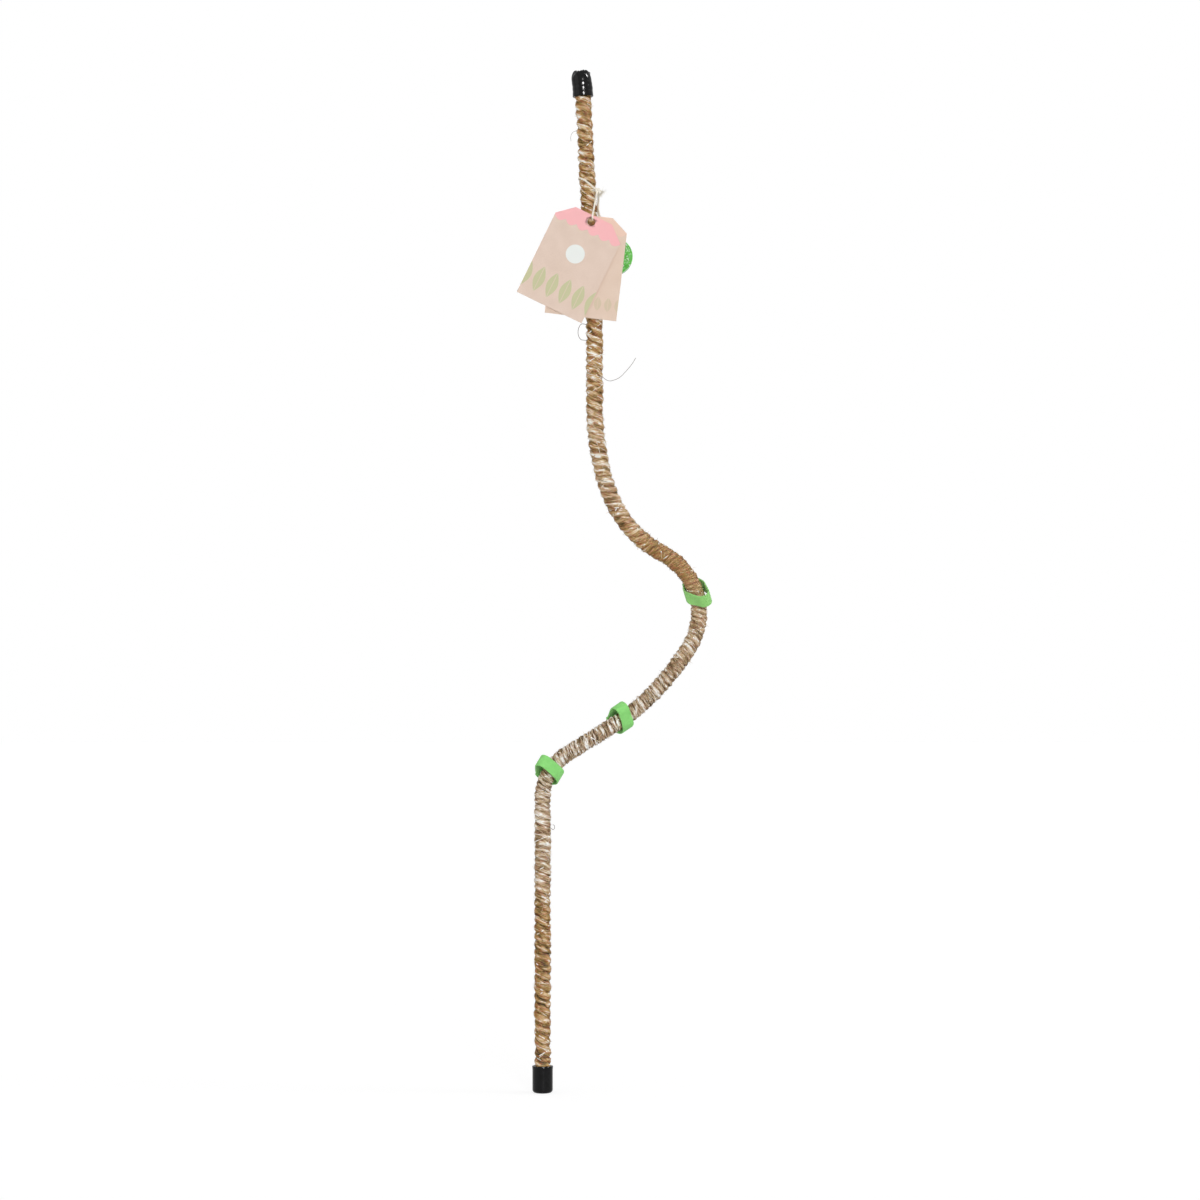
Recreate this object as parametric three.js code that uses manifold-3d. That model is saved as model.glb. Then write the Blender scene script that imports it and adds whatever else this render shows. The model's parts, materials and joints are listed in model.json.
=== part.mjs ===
// A bendable coir plant pole: a steel core wire in a sleeve, wound with a coir band and capped at both ends.
// Two card tags and a roll of tie tape hang on a twine near the top, and three strap ties sit on the bends.
// Millimetres and degrees. The origin is the middle of the foot's flat end, +Z runs up the straight foot,
// +X is the way the lowest bend turns, and the tags hang on the -Y side.
import * as THREE from 'three';
import { mergeVertices } from 'three/addons/utils/BufferGeometryUtils.js';
import Module from 'manifold-3d';

// Clearances
const slipGap = 0.3; // between pieces that touch
const turnGap = 0.5; // between a tie and the pole that it turns on
const layerGap = 0.5; // between layers of tape

// Pole
const poleLength = 1066.8; // 42 inches, along the bent pole and over both caps
const wireRadius = 2;
const sleeveWall = 2.2;
const bandThickness = 2.3;
const bandWidth = 6.4; // against the sleeve
const bandCrown = 4.2; // flat of its outer side
const bandPitch = 8; // from one turn to the next
const bendRange = 25; // each way at a bending place

// Bends, from the foot up. A turn to +X is positive. The straight foot takes up the rest of the length.
const lowTurn = 58;
const lowRadius = 48;
const lowRun = 54;
const easeTurn = -15;
const easeRadius = 190;
const riseTurn = -10;
const riseRadius = 290;
const elbowTurn = -91;
const elbowRadius = 62;
const elbowRun = 16;
const backTurn = 31;
const backRadius = 100;
const upTurn = 13;
const upRadius = 155;
const straightenTurn = 14;
const straightenRadius = 260;
const neckRun = 62;
const leanTurn = -3;
const leanRadius = 900;
const tipRun = 209.5;

// Bending places, measured from the top of the straight foot
const footHinge = -93;
const lowHinge = 72;
const riseHinge = 182;
const backHinge = 322;
const neckHinge = 422;
const tagHingeRoom = 26; // below the tags
const tipHingeRoom = 32; // above the twine

// Caps
const capLength = 25.5;
const capWall = 1.5;
const capEnd = 2.6;
const capRound = 3.2; // radius of its rounded end
const capRim = 0.3; // flare of its open edge
const capRimLength = 2;

// Twine
const twineRadius = 0.9;
const twineFromTop = 110;
const twineSlope = 38; // of its loop round the pole, down towards +X
const knotRadius = 2.8;
const knotPlace = -35; // round the pole, from +X
const tailLength = 5;
const tailForward = 0.3; // of both tails, to one across
const tailFalls = [1.6, 0.4]; // of each tail, to one across

// Tags
const tagWidth = 68;
const tagHeight = 96.5;
const tagThickness = 0.6;
const tagClipAcross = 15;
const tagClipDown = 13;
const tagHoleRadius = 4.2;
const tagHoleDown = 6.2; // from the top edge to the middle of the hole
const tagDrop = 33.1; // from the twine's loop down to where the tags hang
const tagAside = 4.5; // from the loop's middle towards +X
const frontTagAngle = 26;
const rearTagAngle = 7;

// Roll of tie tape
const tapeWidth = 12.5;
const tapeThickness = 1.2;
const tapeTurns = 5.04;
const coreBore = 6.5; // radius
const coreWall = 1.2;
const rollDrop = 61.2; // from the twine's loop down to where the roll hangs
const rollAside = 25.6;

// Ties: each strap goes round the pole and round the room for a stem that lies against the pole's front
const strapThickness = 1.5;
const strapWidth = 12.5;
const strapOverlap = 50; // degrees
const stemRadius = 5;
const tiltedFrom = 12; // in front of the pole's middle, from where the strap has its whole tilt
const tiltedTo = 3; // and where it lies along the pole again

// Each tie: how far up from the top of the straight foot, where the stem lies across the pole,
// the slack round the pole, and the strap's fall towards the front
const lowTieAt = 26;
const lowStemAcross = -8;
const lowTieSlack = 2.5;
const lowTieFall = -22;
const midTieAt = 109.7;
const midStemAcross = -8;
const midTieSlack = 1.4;
const midTieFall = -26;
const highTieAt = 257;
const highStemAcross = 5.1;
const highTieSlack = 1.4;
const highTieFall = 32;

// Facets
const coreSides = 8;
const bandSteps = 8; // in a turn
const lathSides = 16;
const twineSides = 6;
const loopSteps = 20;
const tagLoopSteps = 44;
const rollLoopSteps = 56;
const tailSteps = 5;
const knotSides = 10;
const knotRows = 7;
const tipSteps = 3; // in a wire's rounded end
const rollSteps = 16; // in a turn
const strapSteps = 22; // in a turn
const chordSag = 0.09; // most that a straight facet leaves a bend

const radians = THREE.MathUtils.degToRad;
const { cos, sin, tan, PI } = Math;

// Sizes that follow
const wireBore = (wireRadius + slipGap) / cos(PI / coreSides);
const sleeveRadius = wireBore + sleeveWall;
const bandInside = (sleeveRadius + slipGap) / cos(PI / bandSteps);
const poleRadius = bandInside + bandThickness;
const halfBend = radians(bendRange / 2);
const wireEndGap = wireRadius * (1 / cos(halfBend) - 1) + slipGap / 2;
const sleeveEndGap = sleeveRadius * tan(halfBend) + slipGap;
const bandEndGap = poleRadius * tan(halfBend) + slipGap;

const wasm = await Module();
wasm.setup();

// The pole's bent middle line

const bends = [
  { turn: lowTurn, radius: lowRadius },
  { run: lowRun },
  { turn: easeTurn, radius: easeRadius },
  { turn: riseTurn, radius: riseRadius },
  { turn: elbowTurn, radius: elbowRadius },
  { run: elbowRun },
  { turn: backTurn, radius: backRadius },
  { turn: upTurn, radius: upRadius },
  { turn: straightenTurn, radius: straightenRadius },
  { run: neckRun },
  { turn: leanTurn, radius: leanRadius },
  { run: tipRun },
];

// Each stretch of the middle line: where it starts, its length, and how fast it turns
function layStretches() {
  const lengthOf = (b) => b.run ?? radians(Math.abs(b.turn)) * b.radius;
  const bent = bends.reduce((sum, b) => sum + lengthOf(b), 0);
  const stretches = [];
  let start = 0;
  let heading = 0;
  const point = new THREE.Vector3();
  for (const b of [{ run: poleLength - bent }, ...bends]) {
    const length = lengthOf(b);
    const turn = radians(b.turn ?? 0);
    const stretch = { start, length, heading, turn, point: point.clone() };
    stretches.push(stretch);
    point.copy(pointOn(stretch, length));
    heading += turn;
    start += length;
  }
  return stretches;
}

function pointOn(stretch, along) {
  const { heading, turn, length, point } = stretch;
  const end = heading + (turn * along) / length;
  const reach = new THREE.Vector3(sin(heading), 0, cos(heading)).multiplyScalar(along);
  if (turn) {
    const radius = length / turn;
    reach.set(radius * (cos(heading) - cos(end)), 0, radius * (sin(end) - sin(heading)));
  }
  return reach.add(point);
}

const stretches = layStretches();
const footTop = stretches[0].length;

// The middle line at a distance from the foot: its point, its heading, and the ways along and across it
function poleAt(distance) {
  const last = stretches.length - 1;
  const found = stretches.findIndex((s) => distance <= s.start + s.length);
  const stretch = stretches[found < 0 ? last : found];
  const along = distance - stretch.start;
  const heading = stretch.heading + (stretch.turn * along) / stretch.length;
  return {
    point: pointOn(stretch, along),
    heading,
    along: new THREE.Vector3(sin(heading), 0, cos(heading)),
    across: new THREE.Vector3(cos(heading), 0, -sin(heading)),
    depth: new THREE.Vector3(0, 1, 0),
  };
}

// A point at a place round the pole
function besidePole(distance, radius, angle, lift = 0) {
  const at = poleAt(distance);
  return at.point
    .addScaledVector(at.across, radius * cos(angle))
    .addScaledVector(at.depth, radius * sin(angle))
    .addScaledVector(at.along, lift);
}

// Distances between two places at which the pole's facets change direction
function stationsBetween(low, high) {
  const list = [low, high];
  for (const s of stretches) {
    const turn = Math.abs(s.turn);
    const facetTurn = turn && 2 * Math.acos(1 - (chordSag * turn) / s.length);
    const steps = turn ? Math.ceil(turn / facetTurn) : 1;
    for (let i = 0; i <= steps; i += 1) list.push(s.start + (s.length * i) / steps);
  }
  const nearest = wireRadius / 2;
  const inside = list.filter((d) => d > low + nearest && d < high - nearest).sort((a, b) => a - b);
  const apart = inside.filter((d, i) => i === 0 || d - inside[i - 1] > slipGap);
  return [low, ...apart, high];
}

// Closed bodies from rings of points

// Joins rings of as many points to a skin. The ends are closed unless the rings come round to the start.
function ringBody(rings, round = false) {
  const sides = rings[0].length;
  const corners = rings.flat();
  const faces = [];
  const joins = round ? rings.length : rings.length - 1;
  for (let k = 0; k < joins; k += 1) {
    const here = k * sides;
    const next = ((k + 1) % rings.length) * sides;
    for (let j = 0; j < sides; j += 1) {
      const beside = (j + 1) % sides;
      faces.push(here + j, here + beside, next + beside, here + j, next + beside, next + j);
    }
  }
  const last = (rings.length - 1) * sides;
  for (let j = 1; !round && j < sides - 1; j += 1) {
    faces.push(0, j + 1, j, last, last + j, last + j + 1);
  }
  const geometry = new THREE.BufferGeometry().setFromPoints(corners);
  if (volumeOf(corners, faces) < 0) faces.reverse();
  geometry.setIndex(faces);
  geometry.computeVertexNormals();
  return geometry;
}

function volumeOf(corners, faces) {
  let six = 0;
  const across = new THREE.Vector3();
  for (let i = 0; i < faces.length; i += 3) {
    across.crossVectors(corners[faces[i + 1]], corners[faces[i + 2]]);
    six += corners[faces[i]].dot(across);
  }
  return six / 6;
}

// A ring of points round the pole
function poleRing(distance, radius) {
  const angleOf = (j) => (2 * PI * j) / coreSides;
  return Array.from({ length: coreSides }, (_, j) => besidePole(distance, radius, angleOf(j)));
}

// The least distance between points of a wound strip that lie half a turn or more apart along it
function leastGap(rings, stepsInTurn) {
  let least = Infinity;
  for (let i = 0; i < rings.length; i += 1) {
    for (let k = i + stepsInTurn / 2; k < rings.length; k += 1) {
      for (const a of rings[i]) for (const b of rings[k]) least = Math.min(least, a.distanceTo(b));
    }
  }
  return least;
}

// Booleans

function solidOf(geometry) {
  const bare = geometry.index ? geometry.toNonIndexed() : geometry.clone();
  bare.deleteAttribute('normal');
  bare.deleteAttribute('uv');
  const merged = mergeVertices(bare, 1e-4);
  return new wasm.Manifold(
    new wasm.Mesh({
      numProp: 3,
      vertProperties: merged.attributes.position.array,
      triVerts: new Uint32Array(merged.index.array),
    }),
  );
}

function geometryOf(solid) {
  const mesh = solid.getMesh();
  const geometry = new THREE.BufferGeometry();
  geometry.setAttribute('position', new THREE.BufferAttribute(mesh.vertProperties, 3));
  geometry.setIndex(new THREE.BufferAttribute(mesh.triVerts, 1));
  geometry.computeVertexNormals();
  return geometry;
}

// Materials

const finish = (color, roughness, metalness = 0) =>
  new THREE.MeshStandardMaterial({ color, roughness, metalness });
const steel = finish(0x8c8f92, 0.4, 1);
const sleevePlastic = finish(0x3a3a38, 0.7);
const coir = finish(0x9a6d3c, 0.95);
const blackVinyl = finish(0x141414, 0.22);
const cotton = finish(0xe9dfc8, 0.95);
const kraft = finish(0xd9bfa3, 0.9);
const rollGreen = finish(0x55bb45, 0.5);
const tieGreen = finish(0x8fe07c, 0.85);
const corePaper = finish(0xc9b596, 0.9);

const part = new THREE.Group();

function addMesh(name, geometry, material, parent = part) {
  const mesh = new THREE.Mesh(geometry, material);
  mesh.name = name;
  parent.add(mesh);
  return mesh;
}

// A group that stands on the pole at a distance from the foot, with +Z along the pole
function groupOnPole(distance) {
  const at = poleAt(distance);
  const group = new THREE.Group();
  group.position.copy(at.point);
  group.rotation.y = at.heading;
  part.add(group);
  return group;
}

// Places along the pole

const twineAt = poleLength - twineFromTop;
const holeToTwine = tagHoleRadius - twineRadius - slipGap; // the tags hang by the top of their holes
const tagBelowTwine = tagHeight - tagHoleDown + holeToTwine;
const tagReach = Math.hypot(tagBelowTwine, tagWidth / 2);
const hinges = [
  footTop + footHinge,
  footTop + lowHinge,
  footTop + riseHinge,
  footTop + backHinge,
  footTop + neckHinge,
  twineAt - tagDrop - tagReach - tagHingeRoom,
  twineAt + tipHingeRoom,
];

// Core wire, sleeve and winding of each section between bending places

// A wire with rounded ends where it meets the next section's wire
function wireGeometry(low, high, roundLow, roundHigh) {
  const rings = [];
  const tips = Array.from({ length: tipSteps }, (_, k) => (PI / 2) * ((tipSteps - k - 1 / 2) / tipSteps));
  const endRing = (at, way, angle) => poleRing(at + way * wireRadius * sin(angle), wireRadius * cos(angle));
  const start = roundLow ? low + wireRadius : low;
  const end = roundHigh ? high - wireRadius : high;
  if (roundLow) for (const angle of tips) rings.push(endRing(start, -1, angle));
  for (const distance of stationsBetween(start, end)) rings.push(poleRing(distance, wireRadius));
  if (roundHigh) for (const angle of [...tips].reverse()) rings.push(endRing(end, 1, angle));
  return ringBody(rings);
}

function sleeveGeometry(low, high) {
  const places = stationsBetween(low, high);
  const outside = places.map((distance) => poleRing(distance, sleeveRadius));
  const bore = places.map((distance) => poleRing(distance, wireBore)).reverse();
  return ringBody([...outside, ...bore], true);
}

// The band runs round the pole as one strip, down towards +X on the front
function bandRings(low, high) {
  const step = bandPitch / bandSteps;
  const count = Math.floor((high - low - bandWidth) / step);
  const start = (low + high - count * step) / 2;
  const section = [
    [bandInside, -bandWidth / 2],
    [poleRadius, -bandCrown / 2],
    [poleRadius, bandCrown / 2],
    [bandInside, bandWidth / 2],
  ];
  return Array.from({ length: count + 1 }, (_, k) => {
    const distance = start + k * step;
    const angle = (-2 * PI * distance) / bandPitch;
    return section.map(([radius, lift]) => besidePole(distance, radius, angle, lift));
  });
}

const ends = [0, ...hinges, poleLength];
let bandGap = Infinity;
for (let i = 0; i < ends.length - 1; i += 1) {
  const atFoot = i === 0;
  const atTip = i === ends.length - 2;
  const capSeat = capEnd + slipGap;
  const inset = (gap, atEnd) => (atEnd ? capSeat : gap);
  const from = (gap) => ends[i] + inset(gap, atFoot);
  const upTo = (gap) => ends[i + 1] - inset(gap, atTip);
  const number = i + 1;
  const wire = wireGeometry(from(wireEndGap), upTo(wireEndGap), !atFoot, !atTip);
  const rings = bandRings(from(bandEndGap), upTo(bandEndGap));
  bandGap = Math.min(bandGap, leastGap(rings, bandSteps));
  addMesh(`core_wire_${number}`, wire, steel);
  addMesh(`core_sleeve_${number}`, sleeveGeometry(from(sleeveEndGap), upTo(sleeveEndGap)), sleevePlastic);
  addMesh(`coir_wrap_${number}`, ringBody(rings), coir);
}
console.log(`least gap between turns of the coir band: ${bandGap.toFixed(2)} mm`);

// Caps

function capGeometry() {
  const bore = (poleRadius + slipGap) / cos(PI / lathSides);
  const outside = bore + capWall;
  const profile = [[0, 0], [outside - capRound, 0]];
  const roundSteps = 4;
  for (let k = 1; k <= roundSteps; k += 1) {
    const angle = ((PI / 2) * k) / roundSteps;
    profile.push([outside - capRound + capRound * sin(angle), capRound - capRound * cos(angle)]);
  }
  profile.push([outside, capLength - 2 * capRimLength]);
  profile.push([outside + capRim, capLength - capRimLength]);
  profile.push([outside + capRim, capLength]);
  profile.push([bore, capLength], [bore, capEnd], [0, capEnd]);
  return new THREE.LatheGeometry(profile.map(([x, y]) => new THREE.Vector2(x, y)), lathSides);
}

const capShape = capGeometry();
addMesh('foot_cap', capShape, blackVinyl).rotation.x = PI / 2;
addMesh('top_cap', capShape, blackVinyl, groupOnPole(poleLength)).rotation.x = -PI / 2;

// Twine: a sloping loop round the pole, a knot with two tails, and two hanging loops

const loopRadius = poleRadius + slipGap + twineRadius;
const knotAngle = radians(knotPlace);
const slopeLift = (angle) => -loopRadius * tan(radians(twineSlope)) * cos(angle);
const knot = besidePole(twineAt, poleRadius + slipGap + knotRadius, knotAngle, slopeLift(knotAngle));
const loopMiddle = poleAt(twineAt).point;

const rearTagBack = -(poleRadius + 2 * slipGap + 2 * twineRadius);
const frontTagBack = rearTagBack - tagThickness - slipGap;
const tagPivot = new THREE.Vector3(loopMiddle.x + tagAside, 0, loopMiddle.z - tagDrop);
const rollFront = poleRadius + slipGap;
const rollPivot = new THREE.Vector3(loopMiddle.x + rollAside, 0, loopMiddle.z - rollDrop);
const hangGap = slipGap + layerGap; // between the twine and the core it carries
const rollMiddle = rollPivot.z - (coreBore - twineRadius - hangGap);
const coreOutside = coreBore + coreWall;
const tapeStart = (coreOutside + slipGap) / cos(PI / rollSteps);
const tapeLayer = tapeThickness + layerGap;

function twineTube(points, steps) {
  const corners = Array.from({ length: twineSides }, (_, j) => {
    const angle = (2 * PI * j) / twineSides;
    return new THREE.Vector2(twineRadius * cos(angle), twineRadius * sin(angle));
  });
  const extrudePath = new THREE.CatmullRomCurve3(points);
  return new THREE.ExtrudeGeometry(new THREE.Shape(corners), { steps, extrudePath });
}

function loopTube() {
  const points = [knot.clone()];
  for (let k = 1; k < loopSteps; k += 1) {
    const angle = knotAngle + (2 * PI * k) / loopSteps;
    points.push(besidePole(twineAt, loopRadius, angle, slopeLift(angle)));
  }
  points.push(knot.clone());
  return twineTube(points, 2 * loopSteps);
}

// Routes of the hanging loops between the knot and the knot, from the middle of the loop round the pole:
// across, to the back and up
const tagRoute = [
  [8, -9, -12],
  [6.6, -11.8, -19.5],
  [5.2, -12.8, -26.5],
  [4.5, -12.8, -31.2],
  [4.5, -12.2, -32.5],
  [4.5, -10.85, -33.1],
  [4.5, -9.5, -32.5],
  [4.5, -8.9, -31.2],
  [5.2, -8.9, -26.5],
  [6.6, -8.7, -19.5],
  [8, -7.5, -12],
];
const rollRoute = [
  [10.4, -1.5, -13],
  [10.1, 4.2, -21],
  [12.2, 6.2, -30],
  [18.5, 5.9, -40],
  [23.8, 5.9, -48],
  [25.2, 5.9, -55],
  [25.6, 6.2, -59.4],
  [25.6, 8, -61.2],
  [25.6, 14.25, -61.2],
  [25.6, 20.5, -61.2],
  [25.6, 22.3, -59.4],
  [25.2, 22.6, -55],
  [23.8, 22.6, -48],
  [18.5, 22.6, -40],
  [12.2, 17.5, -30],
  [9, 11, -21],
  [10.2, 4, -13],
];

function hangingTube(route, steps) {
  const points = route.map(([x, y, z]) => new THREE.Vector3(x, y, z).add(loopMiddle));
  return twineTube([knot.clone(), ...points, knot.clone()], steps);
}

function tailTube(fall) {
  const way = new THREE.Vector3(1, -tailForward, -fall).normalize();
  const tip = knot.clone().addScaledVector(way, knotRadius + tailLength);
  const middle = knot.clone().addScaledVector(way, knotRadius);
  return twineTube([knot.clone(), middle.add(new THREE.Vector3(0, 0, twineRadius)), tip], tailSteps);
}

const knotShape = new THREE.SphereGeometry(knotRadius, knotSides, knotRows);
knotShape.translate(knot.x, knot.y, knot.z);
const twinePieces = [
  loopTube(),
  hangingTube(tagRoute, tagLoopSteps),
  hangingTube(rollRoute, rollLoopSteps),
  ...tailFalls.map(tailTube),
];
const twine = twinePieces.reduce((sum, piece) => sum.add(solidOf(piece)), solidOf(knotShape));
addMesh('hang_twine', geometryOf(twine), cotton);

// Tags

function tagGeometry() {
  const half = tagWidth / 2;
  const holeMiddle = -holeToTwine;
  const top = holeMiddle + tagHoleDown;
  const bottom = top - tagHeight;
  const outline = [
    [-half, bottom],
    [half, bottom],
    [half, top - tagClipDown],
    [half - tagClipAcross, top],
    [tagClipAcross - half, top],
    [-half, top - tagClipDown],
  ];
  const shape = new THREE.Shape(outline.map(([x, y]) => new THREE.Vector2(x, y)));
  shape.holes.push(new THREE.Path().absarc(0, holeMiddle, tagHoleRadius, 0, 2 * PI, true));
  return new THREE.ExtrudeGeometry(shape, { depth: tagThickness, bevelEnabled: false, curveSegments: 8 });
}

function addTag(name, angle, back) {
  const group = new THREE.Group();
  group.position.copy(tagPivot).setY(back);
  group.rotation.y = radians(angle);
  part.add(group);
  addMesh(name, tagGeometry(), kraft, group).rotation.x = PI / 2;
}

addTag('front_tag', frontTagAngle, frontTagBack);
addTag('rear_tag', rearTagAngle, rearTagBack);

// Roll of tie tape: a core ring, and the tape wound on it as one strip

const rollGroup = new THREE.Group();
rollGroup.position.set(rollPivot.x, rollFront, rollMiddle);
part.add(rollGroup);

const coreProfile = [
  [coreBore, 0],
  [coreOutside, 0],
  [coreOutside, tapeWidth],
  [coreBore, tapeWidth],
  [coreBore, 0],
];
addMesh(
  'roll_core',
  new THREE.LatheGeometry(coreProfile.map(([x, y]) => new THREE.Vector2(x, y)), lathSides),
  corePaper,
  rollGroup,
);

// The tape's turns, each ring of points a cut through it
function tapeRings() {
  const count = Math.round(tapeTurns * rollSteps);
  return Array.from({ length: count + 1 }, (_, k) => {
    const angle = (2 * PI * k) / rollSteps;
    const inner = tapeStart + (tapeLayer * angle) / (2 * PI);
    const outer = inner + tapeThickness;
    const at = (radius, z) => new THREE.Vector3(radius * cos(angle), radius * sin(angle), z);
    return [at(inner, -tapeWidth), at(outer, -tapeWidth), at(outer, 0), at(inner, 0)];
  });
}

const tape = tapeRings();
addMesh('roll_tape', ringBody(tape), rollGreen, rollGroup).rotation.x = PI / 2;
console.log(`least gap between turns of the tape: ${leastGap(tape, rollSteps).toFixed(2)} mm`);

// Ties: each a strap that runs once round the pole and the stem's room, and laps over its start at the back

const lapStart = 0.97; // of a turn, where the strap has risen clear of its start
const stemDepth = (across) => -Math.sqrt((poleRadius + stemRadius) ** 2 - across ** 2);

// The strap's inner line round both circles, from the back, with the way out of it at each point
function strapLine(poleRoom, stemRoom) {
  const overlapTurns = strapOverlap / 360;
  const count = Math.round((1 + overlapTurns) * strapSteps);
  return Array.from({ length: count + 1 }, (_, k) => {
    const turn = k / strapSteps;
    const angle = PI / 2 + 2 * PI * turn;
    const out = new THREE.Vector2(cos(angle), sin(angle));
    const reach = (room) => room.middle.dot(out) + room.radius;
    const room = reach(poleRoom) > reach(stemRoom) ? poleRoom : stemRoom;
    const lap = THREE.MathUtils.smoothstep(turn, lapStart - overlapTurns, lapStart);
    const radius = room.radius / cos(PI / strapSteps) + lap * (strapThickness + layerGap);
    return { out, at: out.clone().multiplyScalar(radius).add(room.middle) };
  });
}

// A cut through the strap at each point of its line. It falls towards the front, and is tilted there.
function strapRings(line, fall) {
  const places = line.map((p) => p.at.y);
  const middle = (Math.min(...places) + Math.max(...places)) / 2;
  return line.map(({ at, out }) => {
    const lean = fall * (1 - THREE.MathUtils.smoothstep(at.y, -tiltedFrom, -tiltedTo));
    const along = new THREE.Vector3(0, -sin(lean), cos(lean));
    const outward = new THREE.Vector3(out.x, out.y * cos(lean), out.y * sin(lean));
    const inner = new THREE.Vector3(at.x, at.y, tan(fall) * (at.y - middle));
    const half = strapWidth / 2;
    const corner = (through, aside) =>
      inner.clone().addScaledVector(outward, through).addScaledVector(along, aside);
    return [corner(0, -half), corner(strapThickness, -half), corner(strapThickness, half), corner(0, half)];
  });
}

function addTie(name, distance, stemAcross, slack, fall) {
  const poleRoom = { middle: new THREE.Vector2(), radius: poleRadius + turnGap + slack };
  const stemMiddle = new THREE.Vector2(stemAcross, stemDepth(stemAcross));
  const stemRoom = { middle: stemMiddle, radius: stemRadius + turnGap };
  const rings = strapRings(strapLine(poleRoom, stemRoom), radians(fall));
  addMesh(name, ringBody(rings), tieGreen, groupOnPole(distance));
  return leastGap(rings, strapSteps);
}

const tieGaps = [
  addTie('low_tie', footTop + lowTieAt, lowStemAcross, lowTieSlack, lowTieFall),
  addTie('mid_tie', footTop + midTieAt, midStemAcross, midTieSlack, midTieFall),
  addTie('high_tie', footTop + highTieAt, highStemAcross, highTieSlack, highTieFall),
];
console.log(`least gap where a tie laps over itself: ${Math.min(...tieGaps).toFixed(2)} mm`);

export default part;
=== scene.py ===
"""Looks of a bendable coir plant pole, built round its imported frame.

Coir winding with loose fibres and binding thread, glossy end caps, twine, card tags, a tape roll and ties.
Sizes are millimetres and degrees, as in the part's source, and go into the scene as metres.
"""
import json
import math

import bmesh
import bpy
import numpy as np
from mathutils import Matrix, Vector, geometry


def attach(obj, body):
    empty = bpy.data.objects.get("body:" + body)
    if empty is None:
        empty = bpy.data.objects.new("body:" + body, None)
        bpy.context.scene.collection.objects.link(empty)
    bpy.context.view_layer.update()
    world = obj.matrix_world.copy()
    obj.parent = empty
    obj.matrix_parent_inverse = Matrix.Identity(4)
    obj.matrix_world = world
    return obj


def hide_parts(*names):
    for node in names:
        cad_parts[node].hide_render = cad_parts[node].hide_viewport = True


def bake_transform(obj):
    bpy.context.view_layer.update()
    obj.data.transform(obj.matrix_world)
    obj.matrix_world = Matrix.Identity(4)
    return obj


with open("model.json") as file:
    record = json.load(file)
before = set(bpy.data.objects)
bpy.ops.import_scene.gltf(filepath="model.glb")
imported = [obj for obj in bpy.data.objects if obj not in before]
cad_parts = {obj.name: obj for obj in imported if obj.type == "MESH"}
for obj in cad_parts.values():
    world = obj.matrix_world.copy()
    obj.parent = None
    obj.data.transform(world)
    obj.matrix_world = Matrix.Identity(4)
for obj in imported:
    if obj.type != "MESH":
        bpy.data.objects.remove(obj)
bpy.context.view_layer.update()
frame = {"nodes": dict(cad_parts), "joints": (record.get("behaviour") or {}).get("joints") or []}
joints = {j["name"]: j for j in frame["joints"]}

MM = 0.001
DEPTH = np.array([0.0, 1.0, 0.0])  # the way to the back

# Clearances, as in the part
SLIP_GAP = 0.3
TURN_GAP = 0.5
LAYER_GAP = 0.5

# Pole, as in the part. A bend is a turn and a radius, or no turn and a straight length.
POLE_LENGTH = 1066.8
POLE_RADIUS = 7.7
BENDS = [
    (58, 48), (0, 54), (-15, 190), (-10, 290), (-91, 62), (0, 16),
    (31, 100), (13, 155), (14, 260), (0, 62), (-3, 900), (0, 209.5),
]
BEND_JOINTS = ["foot_bend", "low_bend", "rise_bend", "back_bend", "neck_bend", "tag_bend", "tip_bend"]
BEND_REACH = 22  # each way from a hinge along the pole; nothing in this script bends by it

# Caps, as in the part
CAP_LENGTH = 25.5
CAP_WALL = 1.5
CAP_END = 2.6
CAP_RIM = 0.3

# Twine, as in the part
TWINE_RADIUS = 0.9
TWINE_FROM_TOP = 110
TWINE_SLOPE = 38
KNOT_RADIUS = 2.8
KNOT_ANGLE = math.radians(-35)
TAIL_LENGTH = 5
TAIL_FORWARD = 0.3
TAIL_FALLS = [1.6, 0.4]

# Routes of the hanging loops from the knot back to the knot, as in the part: across, to the back and up
# from the middle of the pole's loop
TAG_ROUTE = [
    (8, -9, -12), (6.6, -11.8, -19.5), (5.2, -12.8, -26.5), (4.5, -12.8, -31.2),
    (4.5, -12.2, -32.5), (4.5, -10.85, -33.1), (4.5, -9.5, -32.5), (4.5, -8.9, -31.2),
    (5.2, -8.9, -26.5), (6.6, -8.7, -19.5), (8, -7.5, -12),
]
ROLL_ROUTE = [
    (10.4, -1.5, -13), (10.1, 4.2, -21), (12.2, 6.2, -30), (18.5, 5.9, -40),
    (23.8, 5.9, -48), (25.2, 5.9, -55), (25.6, 6.2, -59.4), (25.6, 8, -61.2),
    (25.6, 14.25, -61.2), (25.6, 20.5, -61.2), (25.6, 22.3, -59.4), (25.2, 22.6, -55),
    (23.8, 22.6, -48), (18.5, 22.6, -40), (12.2, 17.5, -30), (9, 11, -21), (10.2, 4, -13),
]

# Tags, as in the part
TAG_WIDTH = 68
TAG_HEIGHT = 96.5
TAG_THICKNESS = 0.6
TAG_CLIP_ACROSS = 15
TAG_CLIP_DOWN = 13
TAG_HOLE_RADIUS = 4.2
TAG_HOLE_DOWN = 6.2
FRONT_TAG_ANGLE = 26
REAR_TAG_ANGLE = 7

# Tape roll, as in the part but for the tape's own layers
TAPE_WIDTH = 12.5
CORE_BORE = 6.5
CORE_WALL = 1.2
TAPE_LAYER = 1.13
TAPE_TURNS = 7.6

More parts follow.
